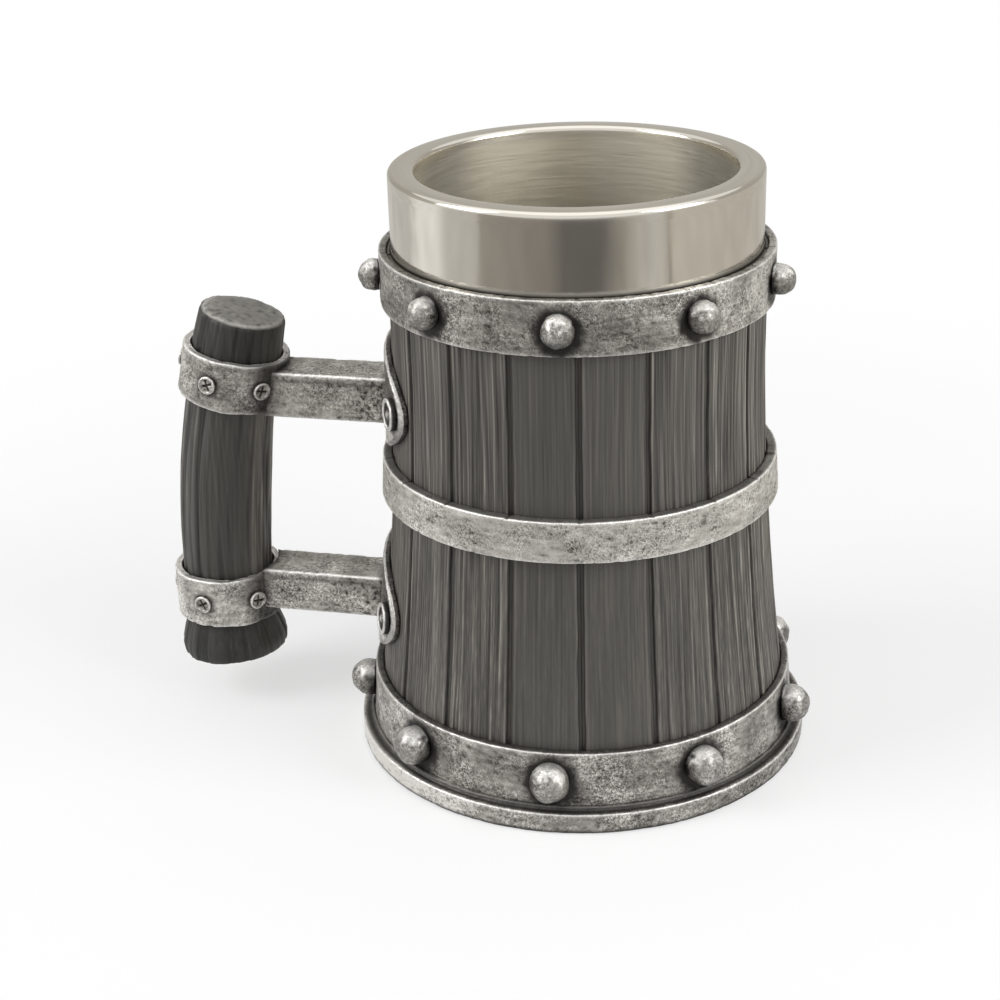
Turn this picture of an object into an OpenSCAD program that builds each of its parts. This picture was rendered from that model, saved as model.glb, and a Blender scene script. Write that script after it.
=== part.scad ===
// Coopered barrel tankard with a steel liner and a log grip.
// Millimetres, +Z up. The origin is the centre of the foot, on the table, and the handle is along -X.

/* [Steel liner] */
// Height of the rim above the table
rim_h = 150; // [140:0.5:160]
// Inside radius of the mouth
mouth_r = 38.6; // [35:0.1:42]
// Width of the flat lip, from the mouth to the collar's outer face
lip_w = 6.4; // [5:0.1:8]
// Thickness of the steel sheet
sheet_t = 0.8; // [0.6:0.1:1.1]
// Height of polished collar that shows above the staves
collar_show = 19.4; // [15:0.1:24]
// Radius of the lip's two edges
lip_edge_r = 1.1; // [0.8:0.1:1.6]
// Inside radius between the liner's wall and its floor
liner_corner_r = 8; // [4:0.5:12]

/* [Staves] */
// Depth of the rebate that the collar's edge stands in
seat_depth = 3; // [2:0.5:5]
// Width of wood left outside the collar
shoulder_w = 0.9; // [0.8:0.1:1.6]
// How far the barrel swells at the level of the table
flare = 8.6; // [6:0.2:10]
// Height where the barrel starts to swell, going down
flare_start_z = 105; // [96:1:114]
// Exponent of the swelling curve
flare_power = 1.7; // [1.5:0.05:2]
// Further swelling of the feet inside the base hoop
foot_splay = 1; // [0.6:0.1:1.6]
// Thickness of the stave feet
foot_wall = 9; // [8:0.2:10]
// Width of the groove that marks a seam between two staves
seam_w = 1.3; // [0.8:0.1:1.8]
// Depth of the seams' grooves
seam_depth = 1; // [0.7:0.1:1.4]
// Turn of the staves round the barrel
stave_turn = 1.2; // [-3:0.2:3]

/* [Bottom board] */
// Height of the croze groove above the stave feet
croze_rise = 5; // [4:0.2:7]
// Height of the croze groove
croze_h = 3.4; // [3:0.1:4]
// Depth of the croze groove
croze_depth = 1.6; // [1.2:0.1:2.2]
// Thickness of the board
board_t = 6; // [5:0.2:7]

/* [Hoops] */
// Height of the top hoop
top_hoop_h = 13.3; // [11:0.1:15]
// Thickness of the top hoop
top_hoop_t = 2; // [1.6:0.1:2.6]
// How far the top hoop stands above the stave tops
top_hoop_proud = 0.6; // [0.3:0.1:1]
// Height of the middle hoop's lower edge above the table
middle_hoop_z = 68.2; // [64:0.2:72]
// Height of the middle hoop
middle_hoop_h = 10.2; // [8:0.1:12]
// Thickness of the middle hoop
middle_hoop_t = 2.6; // [2:0.1:3]
// Height of the base hoop
base_hoop_h = 14.4; // [13:0.1:15.4]
// Thickness of the base hoop
base_hoop_t = 2.1; // [1.6:0.1:2.6]
// Bevel on the hoops' edges
hoop_bevel = 0.4; // [0.2:0.1:0.7]

/* [Studs] */
// Radius of the domes on the top hoop
top_stud_r = 4; // [3:0.1:4.6]
// How far the centre of a top dome lies outside the hoop
top_stud_out = 1.3; // [0.8:0.1:2]
// Turn of the top hoop's studs round the barrel
top_stud_turn = -84; // [-100:1:-64]
// Radius of the domes on the base hoop
base_stud_r = 5; // [4:0.1:5.4]
// How far the centre of a base dome lies outside the hoop
base_stud_out = 1.6; // [1:0.1:2.2]
// Turn of the base hoop's studs round the barrel
base_stud_turn = -87; // [-100:1:-64]
// How far the base hoop's studs lie above its middle
base_stud_lift = 0.1; // [0:0.1:1.5]
// Radius of the studs' shanks
stud_shank_r = 1.2; // [0.8:0.1:1.6]

/* [Base plate] */
// Width of the flange outside the base hoop
flange_w = 3.2; // [2.4:0.1:4]
// Thickness of the flange
flange_t = 5.5; // [4.5:0.1:6.5]
// Thickness of the plate's floor
base_floor_t = 2.2; // [1.6:0.1:3]
// Height of the rim that locates the stave feet
spigot_h = 3; // [2:0.2:3.4]
// Width of the locating rim
spigot_w = 2.5; // [1.8:0.1:3.5]
// Height of the bead round the foot of the base hoop
bead_h = 0.8; // [0.5:0.1:1.2]
// Bevel on the flange's upper edge
flange_bevel = 0.4; // [0.2:0.1:0.7]
// Bevel on the flange's lower edge
foot_bevel = 0.8; // [0.4:0.1:1.2]

/* [Handle plates] */
// Half length of an oval plate, measured straight across the barrel
plate_half_w = 29.5; // [29:0.5:33]
// Half height of an oval plate
plate_half_h = 13.9; // [12:0.1:15]
// Gap between the middle hoop and the upper plate
upper_plate_gap = 0.7; // [0.4:0.1:4]
// Gap between the base hoop and the lower plate
lower_plate_gap = 3.5; // [1:0.1:6]
// Thickness of the plates
plate_t = 1.9; // [1.4:0.1:2.4]
// Distance of a rivet from the middle of its plate, round the barrel
rivet_arc = 26.2; // [24:0.2:26.6]
// Radius of the rivet heads
rivet_head_r = 4.2; // [3.8:0.1:4.6]
// Height of the rivet heads
rivet_head_h = 1.5; // [1:0.1:2]
// Bevel on the rivet heads
rivet_bevel = 0.5; // [0.3:0.1:0.8]
// Width of the ring round a rivet head's dish
rivet_ring_w = 1.2; // [1:0.1:1.5]
// Depth of the dish in a rivet head
rivet_dish = 0.7; // [0.4:0.1:0.8]
// Radius of the boss in the middle of the dish
rivet_boss_r = 1.6; // [1.2:0.1:2]
// Radius of the rivet shanks
rivet_shank_r = 1.5; // [1.2:0.1:1.7]
// Depth that a rivet reaches into the stave
rivet_reach = 4.2; // [3:0.2:4.6]

/* [Handle arms] */
// Width of the arms
arm_w = 13.4; // [12:0.1:15.4]
// Height of the upper arm's bar
upper_arm_h = 12.2; // [10:0.1:12.4]
// Height of the lower arm's bar
lower_arm_h = 11.6; // [10:0.1:12]
// How far the arms' middles lie below the middles of their plates
arm_drop = 4; // [0:0.2:6]
// Width of the arms' tenons
tenon_w = 8; // [6:0.2:10]
// Height of the arms' tenons
tenon_h = 6; // [4:0.2:7]

/* [Grip log] */
// Distance of the log's furthest point of centre line from the barrel's axis
log_reach = 97.5; // [94:0.5:102]
// Radius of the log's bow
log_bow_r = 307; // [260:1:400]
// How far the bow's furthest point lies below the middle of the lower clamp
bow_drop = 1; // [-10:0.5:8]
// Length of log below the middle of the lower clamp
log_below = 19; // [17:0.5:24]
// Length of log above the middle of the upper clamp
log_above = 16.5; // [12:0.5:24]
// Radius of the log in the hand
log_r = 12.3; // [11:0.1:13]
// Radius of the log inside the lower clamp
log_lower_r = 12.1; // [11:0.1:13]
// Radius of the log inside the upper clamp
log_upper_r = 11.7; // [11:0.1:12.6]
// Radius of the log's upper end
log_top_r = 11.2; // [10:0.1:12]
// Radius of the log's spread foot
log_foot_r = 14.5; // [13:0.1:15.5]

/* [Clamps] */
// Height of the clamps along the log
clamp_h = 13.8; // [12:0.1:14.4]
// Thickness of the clamps
clamp_t = 2; // [1.6:0.1:2.6]
// How far the upper clamp's middle lies above the middle of its arm
upper_clamp_rise = 4; // [1:0.2:4.6]
// How far the lower clamp's middle lies below the middle of its arm
lower_clamp_drop = 2.3; // [0:0.1:3]
// Angle from the front of a clamp to its second pair of screws
screw_turn = 81; // [60:1:90]
// Space between an arm and the screws beside it, round the clamp
screw_arm_gap = 0.3; // [0.2:0.1:2]
// Radius of the screw heads
screw_head_r = 2.4; // [2:0.1:2.6]
// Height of the screw heads
screw_head_h = 0.9; // [0.6:0.1:1.3]
// Radius of the screw shanks
screw_shank_r = 1.1; // [0.8:0.1:1.4]
// Width of the cross recess in the screw heads
recess_w = 0.6; // [0.4:0.1:0.8]
// Length of the cross recess
recess_l = 3.2; // [2.4:0.1:3.6]
// Depth of the cross recess
recess_depth = 0.5; // [0.3:0.1:0.6]
// Depth that a screw reaches into the log
screw_reach = 6; // [4:0.5:8]

/* [Hidden] */
$fn = 96;

// Colours of the wood, the log, the aged metal and the steel
wood = "#5a5852";
log_wood = "#45433e";
aged_metal = "#8f8c86";
steel = "#b9b3a6";

// Fits and clearances
collar_gap = 0.1;
liner_gap = 0.3;
floor_gap = 0.2;
spigot_gap = 0.3;
bead_gap = 0.1;
stave_gap = 0.1;
croze_gap = 0.15;
hoop_gap = 0.1;
hole_gap = 0.05;
seat_gap = 0.02;
clamp_gap = 0.2;
tenon_gap = 0.05;
// How far a cutter runs past the face that it cuts
over = 1;

// Levels of the barrel, from the table up
foot_z = flange_t;
foot_top_z = foot_z + base_hoop_h;
stave_top_z = rim_h - collar_show;
seat_z = stave_top_z - seat_depth;
croze_z = foot_z + croze_rise;
board_low_z = croze_z - (board_t - croze_h) / 2;
liner_low_z = board_low_z + board_t + floor_gap;

// Radii of the barrel
collar_r = mouth_r + lip_w;
liner_r = mouth_r + sheet_t;
barrel_top_r = collar_r + collar_gap + shoulder_w;
neck_r = liner_r + liner_gap;

// Outside radius of the wood at a height: straight above, a bell curve below, splayed feet
function bell_r(z) = barrel_top_r + flare * pow(max(0, 1 - z / flare_start_z), flare_power);
function foot_r(z) = bell_r(foot_top_z) + foot_splay * (foot_top_z - z) / base_hoop_h;
function wood_r(z) = z >= foot_top_z ? bell_r(z) : foot_r(z);
foot_in_r = wood_r(foot_z) - foot_wall;
function inner_r(z) = neck_r + (foot_in_r - neck_r) * (seat_z - z) / (seat_z - foot_z);
// Lean of the wood's face from upright, in degrees, taken between a step below and a step above
lean_step = 1;
function face_lean(z) = atan((wood_r(z - lean_step) - wood_r(z + lean_step)) / (2 * lean_step));

// Heights where the wood's outline has a corner
bell_steps = 10;
bell_h = flare_start_z - foot_top_z;
outline_z = [foot_z, for (k = [0 : bell_steps]) foot_top_z + bell_h * k / bell_steps, stave_top_z];

// Staves
stave_count = 18;
stave_pitch = 360 / stave_count;
function arc_angle(length, r) = length / r * 180 / PI;
gap_angle = arc_angle(stave_gap, barrel_top_r);
seam_angle = arc_angle(seam_w, barrel_top_r);

// Studs
stud_count = 9;
stud_pitch = 360 / stud_count;
top_hoop_top_z = stave_top_z + top_hoop_proud;
top_stud_z = top_hoop_top_z - top_hoop_h / 2;
base_stud_z = foot_z + base_hoop_h / 2 + base_stud_lift;

// Handle plates, arms and clamps
upper_plate_z = middle_hoop_z + middle_hoop_h + upper_plate_gap + plate_half_h;
lower_plate_z = foot_top_z + lower_plate_gap + plate_half_h;
upper_arm_z = upper_plate_z - arm_drop;
lower_arm_z = lower_plate_z - arm_drop;
upper_clamp_z = upper_arm_z + upper_clamp_rise;
lower_clamp_z = lower_arm_z - lower_clamp_drop;
upper_clamp_r = log_upper_r + clamp_gap + clamp_t;
lower_clamp_r = log_lower_r + clamp_gap + clamp_t;
function arm_screw_turn(r) = 180 - asin(arm_w / 2 / r) - arc_angle(screw_head_r + screw_arm_gap, r);
function screw_angles(r) = let (a = arm_screw_turn(r)) [0, screw_turn, a, -a, -screw_turn];
function plate_r(z) = wood_r(z) + hoop_gap + plate_t;
function rivet_angle(z) = arc_angle(rivet_arc, plate_r(z));
// Half the angle that a rivet's hole takes up at its inner end
function hole_angle(z) = arc_angle(rivet_shank_r + hole_gap, wood_r(z) - rivet_reach);

// Centre line of the log: an arc in the XZ plane, bowed away from the barrel
log_bow_z = lower_clamp_z - bow_drop;
log_low_z = lower_clamp_z - log_below;
log_top_z = upper_clamp_z + log_above;
function bow_angle(z) = asin((z - log_bow_z) / log_bow_r);
function log_x(z) = -log_reach + log_bow_r * (1 - cos(bow_angle(z)));
// Worn edges of the log's two ends, and lengths over which its radius changes
end_wear = 0.6;
end_round = 1;
foot_spread = 4;
clamp_margin = 1;
waist_l = 4;
hand_l = 10;
swell_l = 20;
// Heights and radii of the log, from its foot to its top
log_outline = [
    [log_low_z, log_foot_r - 2 * end_wear],
    [log_low_z + end_round, log_foot_r - end_wear],
    [log_low_z + foot_spread, log_foot_r],
    [lower_clamp_z - clamp_h / 2 - waist_l, (log_foot_r + log_lower_r) / 2],
    [lower_clamp_z - clamp_h / 2 - clamp_margin, log_lower_r],
    [lower_clamp_z + clamp_h / 2 + clamp_margin, log_lower_r],
    [lower_clamp_z + clamp_h / 2 + hand_l, log_r],
    [upper_clamp_z - clamp_h / 2 - swell_l, log_r],
    [upper_clamp_z - clamp_h / 2 - clamp_margin, log_upper_r],
    [upper_clamp_z + clamp_h / 2 + clamp_margin, log_upper_r],
    [log_top_z - end_round, log_top_r],
    [log_top_z, log_top_r - end_wear]];
log_sides = 24;

// Outline of a band that hugs the wood, with bevelled outer edges
module band(low_z, high_z, t) {
    heights = [low_z, for (z = outline_z) if (z > low_z && z < high_z) z, high_z];
    last = len(heights) - 1;
    inside = [for (z = heights) [wood_r(z) + hoop_gap, z]];
    outside = [for (k = [last : -1 : 0]) let (z = heights[k], r = wood_r(z) + hoop_gap + t)
        each k == last ? [[r - hoop_bevel, z], [r, z - hoop_bevel]]
        : k == 0 ? [[r, z + hoop_bevel], [r - hoop_bevel, z]]
        : [[r, z]]];
    polygon(concat(inside, outside));
}

// Everything inside a surface that stands off the wood, as a cutter
module wood_solid(off) {
    rotate_extrude() polygon(concat([[0, foot_z - over]], [[wood_r(foot_z) + off, foot_z - over]],
        [for (z = outline_z) [wood_r(z) + off, z]], [[0, stave_top_z]]));
}

// Points of a quarter arc of radius r about a centre, from one angle to another
function quarter(centre, r, from, to, steps = 6) =
    [for (k = [0 : steps]) let (a = from + (to - from) * k / steps) centre + r * [cos(a), sin(a)]];

// Liner cup, lip and collar, spun from one sheet
module steel_liner() {
    outer_corner = liner_corner_r + sheet_t;
    color(steel) rotate_extrude() polygon(concat(
        [[0, liner_low_z]],
        quarter([liner_r - outer_corner, liner_low_z + outer_corner], outer_corner, -90, 0),
        [[liner_r, rim_h - sheet_t], [collar_r - sheet_t, rim_h - sheet_t]],
        [[collar_r - sheet_t, seat_z], [collar_r, seat_z]],
        quarter([collar_r - lip_edge_r, rim_h - lip_edge_r], lip_edge_r, 0, 90),
        quarter([mouth_r + lip_edge_r, rim_h - lip_edge_r], lip_edge_r, 90, 180),
        quarter([mouth_r - liner_corner_r, liner_low_z + outer_corner], liner_corner_r, 0, -90),
        [[0, liner_low_z + sheet_t]]));
}

// Outline of a stave from foot to top, with the collar's rebate and the croze for the board
module stave_outline() {
    croze_top_z = croze_z + croze_h;
    step_r = collar_r + collar_gap;
    polygon(concat(
        [for (z = outline_z) [wood_r(z), z]],
        [[step_r, stave_top_z], [step_r, seat_z], [neck_r, seat_z]],
        [[inner_r(croze_top_z), croze_top_z], [inner_r(croze_top_z) + croze_depth, croze_top_z]],
        [[inner_r(croze_z) + croze_depth, croze_z], [inner_r(croze_z), croze_z]],
        [[foot_in_r, foot_z]]));
}

// Outline of the wood that a seam takes away
module seam_outline() {
    polygon(concat(
        [[wood_r(foot_z) - seam_depth, foot_z - over]],
        [for (z = outline_z) [wood_r(z) - seam_depth, z]],
        [[barrel_top_r - seam_depth, stave_top_z + over], [barrel_top_r + over, stave_top_z + over]],
        [for (k = [len(outline_z) - 1 : -1 : 0]) [wood_r(outline_z[k]) + over, outline_z[k]]],
        [[wood_r(foot_z) + over, foot_z - over]]));
}

// One stave: a sector of the barrel, grooved along both edges, with holes where rivets go in
module stave(i) {
    width = stave_pitch - gap_angle;
    middle = (i + 0.5) * stave_pitch + stave_turn;
    color(wood) rotate([0, 0, middle]) difference() {
        rotate([0, 0, -width / 2]) rotate_extrude(angle = width) stave_outline();
        for (side = [-1, 1])
            rotate([0, 0, side * stave_pitch / 2 - seam_angle / 2])
                rotate_extrude(angle = seam_angle) seam_outline();
        for (plate_z = [upper_plate_z, lower_plate_z], side = [-1, 1])
            if (abs(middle - 180 - side * rivet_angle(plate_z)) < stave_pitch / 2 + hole_angle(plate_z))
                rotate([0, 0, -middle]) at_rivet(plate_z, side)
                    pin(rivet_shank_r + hole_gap, -rivet_reach - plate_t - hole_gap, 0);
    }
}

// A plain pin along X, from one x to another
module pin(r, from, to) {
    translate([from, 0, 0]) rotate([0, 90, 0]) cylinder(h = to - from, r = r);
}

// Puts its children on a point of a hoop's outer face, with X pointing out of it
module on_face(angle, r, z) {
    rotate([0, 0, angle]) translate([r, 0, z]) children();
}

// Puts its children on each stud's place on a hoop's face, leaning with the face
module at_studs(turn, z, hoop_t) {
    for (k = [0 : stud_count - 1])
        on_face(turn + k * stud_pitch, wood_r(z) + hoop_gap + hoop_t, z)
            rotate([0, -face_lean(z), 0]) children();
}

// Holes for the shanks of the studs through a hoop
module stud_holes(turn, z, hoop_t) {
    at_studs(turn, z, hoop_t) pin(stud_shank_r + hole_gap, -hoop_t - over, over);
}

module top_hoop() {
    color(aged_metal) difference() {
        rotate_extrude() band(top_hoop_top_z - top_hoop_h, top_hoop_top_z, top_hoop_t);
        stud_holes(top_stud_turn, top_stud_z, top_hoop_t);
    }
}

module middle_hoop() {
    color(aged_metal) rotate_extrude() band(middle_hoop_z, middle_hoop_z + middle_hoop_h, middle_hoop_t);
}

module base_hoop() {
    color(aged_metal) difference() {
        rotate_extrude() band(foot_z, foot_top_z, base_hoop_t);
        stud_holes(base_stud_turn, base_stud_z, base_hoop_t);
    }
}

// A stud: a dome cut flat where it meets the hoop, and a shank through the hoop
module stud(r, out, hoop_t) {
    difference() {
        translate([out, 0, 0]) sphere(r = r);
        translate([seat_gap - 2 * r, -r - over, -r - over]) cube([2 * r, 2 * r + 2 * over, 2 * r + 2 * over]);
    }
    pin(stud_shank_r, -hoop_t, out);
}

module top_hoop_studs() {
    color(aged_metal) at_studs(top_stud_turn, top_stud_z, top_hoop_t)
        stud(top_stud_r, top_stud_out, top_hoop_t);
}

module base_hoop_studs() {
    color(aged_metal) at_studs(base_stud_turn, base_stud_z, base_hoop_t)
        stud(base_stud_r, base_stud_out, base_hoop_t);
}

// Barrel head: a tongue in the croze and a thicker middle
module bottom_board() {
    tongue_gap = croze_gap / 2;
    tongue_low = croze_z + tongue_gap;
    tongue_top = croze_z + croze_h - tongue_gap;
    tongue_r = inner_r(croze_z + croze_h) + croze_depth - croze_gap;
    field_r = inner_r(croze_z + croze_h) - over;
    color(wood) rotate_extrude() polygon([
        [0, board_low_z], [field_r, board_low_z], [field_r, tongue_low], [tongue_r, tongue_low],
        [tongue_r, tongue_top], [field_r, tongue_top], [field_r, board_low_z + board_t],
        [0, board_low_z + board_t]]);
}

// Foot: a dished plate with a flange, a bead round the hoop and a rim inside the stave feet
module base_plate() {
    hoop_r = wood_r(foot_z) + hoop_gap + base_hoop_t;
    rim_r = foot_in_r - spigot_gap;
    flange_r = hoop_r + flange_w;
    bead_r = hoop_r + bead_gap;
    color(aged_metal) rotate_extrude() polygon([
        [0, 0], [flange_r - foot_bevel, 0], [flange_r, foot_bevel],
        [flange_r, flange_t - flange_bevel], [flange_r - flange_bevel, flange_t],
        [bead_r + bead_h, flange_t], [bead_r + bead_h / 2, flange_t + bead_h], [bead_r, flange_t + bead_h],
        [bead_r, flange_t], [rim_r, flange_t], [rim_r, flange_t + spigot_h],
        [rim_r - spigot_w, flange_t + spigot_h], [rim_r - spigot_w, base_floor_t], [0, base_floor_t]]);
}

// Puts its children on a plate's face where a rivet goes, with X pointing out of the face
module at_rivet(plate_z, side) {
    on_face(180 + side * rivet_angle(plate_z), plate_r(plate_z), plate_z)
        rotate([0, -face_lean(plate_z), 0]) children();
}

// Oval outline in a plane square to the handle
module oval(half_w, half_h) {
    steps = 48;
    polygon([for (k = [0 : steps - 1]) [half_w * cos(k * 360 / steps), half_h * sin(k * 360 / steps)]]);
}

// A plate: a strip of the barrel's surface inside an oval, with a slot for the arm's tenon
module plate(plate_z, arm_z) {
    low_z = plate_z - plate_half_h - over;
    high_z = plate_z + plate_half_h + over;
    color(aged_metal) difference() {
        intersection() {
            rotate([0, 0, 90]) rotate_extrude(angle = 180) band(low_z, high_z, plate_t);
            translate([0, 0, plate_z]) rotate([90, 0, -90]) linear_extrude(height = log_reach)
                oval(plate_half_w, plate_half_h);
        }
        tenon(-plate_r(arm_z) - over, 0, arm_z, tenon_gap);
        for (side = [-1, 1])
            at_rivet(plate_z, side) pin(rivet_shank_r + hole_gap, -plate_t - over, over);
    }
}

module upper_plate() {
    plate(upper_plate_z, upper_arm_z);
}

module lower_plate() {
    plate(lower_plate_z, lower_arm_z);
}

// Rivets of a plate: a dished head with a ring and a low boss, and a shank into the stave
module plate_rivets(plate_z) {
    dish_r = rivet_head_r - rivet_ring_w;
    dish_h = rivet_head_h - rivet_dish;
    color(aged_metal) for (side = [-1, 1])
        at_rivet(plate_z, side) rotate([0, 90, 0]) rotate_extrude() polygon([
            [0, -rivet_reach - plate_t], [rivet_shank_r, -rivet_reach - plate_t],
            [rivet_shank_r, seat_gap], [rivet_head_r, seat_gap],
            [rivet_head_r, rivet_head_h - rivet_bevel], [rivet_head_r - rivet_bevel, rivet_head_h],
            [dish_r, rivet_head_h], [dish_r, dish_h], [rivet_boss_r, dish_h],
            [rivet_boss_r - rivet_dish, rivet_head_h], [0, rivet_head_h]]);
}

module upper_plate_rivets() {
    plate_rivets(upper_plate_z);
}

module lower_plate_rivets() {
    plate_rivets(lower_plate_z);
}

// A tenon along X between two places, larger all round by a clearance
module tenon(from, to, arm_z, gap) {
    translate([from, -tenon_w / 2 - gap, arm_z - tenon_h / 2 - gap])
        cube([to - from, tenon_w + 2 * gap, tenon_h + 2 * gap]);
}

// An arm: a flat bar cut to the plate and to the clamp, with a tenon through each
module arm(arm_z, h, clamp_z, clamp_r) {
    ring_h = clamp_h + h + 2 * abs(clamp_z - arm_z);
    color(aged_metal) difference() {
        union() {
            difference() {
                translate([log_x(clamp_z), -arm_w / 2, arm_z - h / 2]) cube([-log_x(clamp_z), arm_w, h]);
                wood_solid(hoop_gap + plate_t + seat_gap);
                at_clamp(clamp_z) cylinder(h = ring_h, r = clamp_r + seat_gap, center = true);
            }
            tenon(log_x(clamp_z), -wood_r(arm_z), arm_z, 0);
        }
        wood_solid(hoop_gap);
        at_clamp(clamp_z) cylinder(h = ring_h, r = clamp_r - clamp_t, center = true);
    }
}

module upper_arm() {
    arm(upper_arm_z, upper_arm_h, upper_clamp_z, upper_clamp_r);
}

module lower_arm() {
    arm(lower_arm_z, lower_arm_h, lower_clamp_z, lower_clamp_r);
}

// Puts its children on the log's centre line, with Z along the log
module at_clamp(z) {
    translate([log_x(z), 0, z]) rotate([0, bow_angle(z), 0]) children();
}

// A clamp: a ring round the log, slotted for the arm's tenon and drilled for its screws
module clamp(z, r, arm_z) {
    color(aged_metal) difference() {
        at_clamp(z) difference() {
            cylinder(h = clamp_h, r = r, center = true);
            cylinder(h = clamp_h + 2 * over, r = r - clamp_t, center = true);
            for (a = screw_angles(r))
                rotate([0, 0, 180 - a]) pin(screw_shank_r + hole_gap, 0, r + over);
        }
        tenon(log_x(z), log_x(z) + r + 2 * over, arm_z, tenon_gap);
    }
}

module upper_clamp() {
    clamp(upper_clamp_z, upper_clamp_r, upper_arm_z);
}

module lower_clamp() {
    clamp(lower_clamp_z, lower_clamp_r, lower_arm_z);
}

// Screws of a clamp: low round heads with a cross recess, and shanks into the log
module clamp_screws(z, r) {
    color(aged_metal) at_clamp(z) for (a = screw_angles(r)) rotate([0, 0, 180 - a]) difference() {
        union() {
            pin(screw_head_r, r + seat_gap, r + screw_head_h);
            pin(screw_shank_r, r - clamp_t - screw_reach, r + screw_head_h / 2);
        }
        for (turn = [0, 90])
            translate([r + screw_head_h, 0, 0]) rotate([turn + 45, 0, 0])
                cube([2 * recess_depth, recess_l, recess_w], center = true);
    }
}

module upper_clamp_screws() {
    clamp_screws(upper_clamp_z, upper_clamp_r);
}

module lower_clamp_screws() {
    clamp_screws(lower_clamp_z, lower_clamp_r);
}

// One ring of points square to the log's centre line
function log_ring(z, r) = let (a = bow_angle(z), out = [-cos(a), 0, sin(a)], side = [0, -1, 0])
    [for (k = [0 : log_sides - 1]) let (t = k * 360 / log_sides)
        [log_x(z), 0, z] + r * (cos(t) * out + sin(t) * side)];

// The bowed log, drilled for the clamps' screws
module grip_log() {
    rings = len(log_outline);
    points = [for (ring = log_outline) each log_ring(ring[0], ring[1])];
    ends = [[for (k = [0 : log_sides - 1]) k],
        [for (k = [log_sides - 1 : -1 : 0]) (rings - 1) * log_sides + k]];
    walls = [for (i = [0 : rings - 2], k = [0 : log_sides - 1]) let (m = (k + 1) % log_sides)
        each [[i * log_sides + k, (i + 1) * log_sides + k, (i + 1) * log_sides + m],
            [i * log_sides + k, (i + 1) * log_sides + m, i * log_sides + m]]];
    color(log_wood) difference() {
        polyhedron(points = points, faces = concat(ends, walls));
        log_screw_holes(upper_clamp_z, upper_clamp_r);
        log_screw_holes(lower_clamp_z, lower_clamp_r);
    }
}

// Pilot holes in the log for one clamp's screws
module log_screw_holes(z, r) {
    at_clamp(z) for (a = screw_angles(r))
        rotate([0, 0, 180 - a]) pin(screw_shank_r + hole_gap, r - clamp_t - screw_reach - hole_gap, r + over);
}

steel_liner();
top_hoop();
middle_hoop();
base_hoop();
top_hoop_studs();
base_hoop_studs();
stave(0);  // stave_01
stave(1);  // stave_02
stave(2);  // stave_03
stave(3);  // stave_04
stave(4);  // stave_05
stave(5);  // stave_06
stave(6);  // stave_07
stave(7);  // stave_08
stave(8);  // stave_09
stave(9);  // stave_10
stave(10);  // stave_11
stave(11);  // stave_12
stave(12);  // stave_13
stave(13);  // stave_14
stave(14);  // stave_15
stave(15);  // stave_16
stave(16);  // stave_17
stave(17);  // stave_18
bottom_board();
base_plate();
upper_plate();
lower_plate();
upper_plate_rivets();
lower_plate_rivets();
upper_arm();
lower_arm();
upper_clamp();
lower_clamp();
upper_clamp_screws();
lower_clamp_screws();
grip_log();
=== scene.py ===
# Barrel tankard: stained oak staves in aged metal hoops, a steel liner, and a log grip in strap clamps.
import math
import bmesh
import bpy
from mathutils import Matrix, Vector, noise


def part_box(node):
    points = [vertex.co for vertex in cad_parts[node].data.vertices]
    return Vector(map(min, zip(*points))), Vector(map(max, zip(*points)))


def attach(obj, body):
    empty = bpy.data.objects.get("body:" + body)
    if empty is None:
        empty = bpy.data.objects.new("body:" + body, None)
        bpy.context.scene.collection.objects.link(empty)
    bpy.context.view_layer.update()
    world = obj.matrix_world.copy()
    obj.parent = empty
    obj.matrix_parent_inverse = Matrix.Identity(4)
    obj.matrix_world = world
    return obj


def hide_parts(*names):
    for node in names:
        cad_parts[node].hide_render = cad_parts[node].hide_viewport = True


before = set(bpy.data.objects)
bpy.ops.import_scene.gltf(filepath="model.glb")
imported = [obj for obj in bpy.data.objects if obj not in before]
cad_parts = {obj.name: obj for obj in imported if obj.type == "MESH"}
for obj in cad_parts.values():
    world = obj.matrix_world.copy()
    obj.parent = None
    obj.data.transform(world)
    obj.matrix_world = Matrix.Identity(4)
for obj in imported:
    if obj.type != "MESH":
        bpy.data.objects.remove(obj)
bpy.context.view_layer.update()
scene = bpy.context.scene
mm = 0.001
per_mm = 1 / mm

# Camera: a long lens in front of the barrel and above its rim, with the handle to the left.
camera_data = bpy.data.cameras.new("camera")
camera_data.lens = 70.27
camera_data.sensor_width = 36
camera_data.clip_start = 10 * mm
camera = bpy.data.objects.new("camera", camera_data)
camera_place = Matrix.Translation(Vector((89.2, -448.5, 262.9)) * mm)
camera_turn = Matrix.Rotation(math.radians(13.8), 4, "Z")
camera_tilt = Matrix.Rotation(math.radians(66.39), 4, "X")
camera_roll = Matrix.Rotation(math.radians(-1.67), 4, "Z")
camera.matrix_world = camera_place @ camera_turn @ camera_tilt @ camera_roll
scene.collection.objects.link(camera)
scene.camera = camera
scene.view_settings.view_transform = "Standard"


# Floor and backdrop: a pale matt table that runs out to a white room. Rays from the camera and from
# gloss see both as white, and the table keeps the tankard's soft shadow.
def srgb(code):
    """An sRGB hex colour as the linear colour that shaders take."""
    channels = [int(code[k:k + 2], 16) / 255 for k in (1, 3, 5)]
    return [c / 12.92 if c <= 0.04045 else ((c + 0.055) / 1.055) ** 2.4 for c in channels] + [1]


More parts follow.
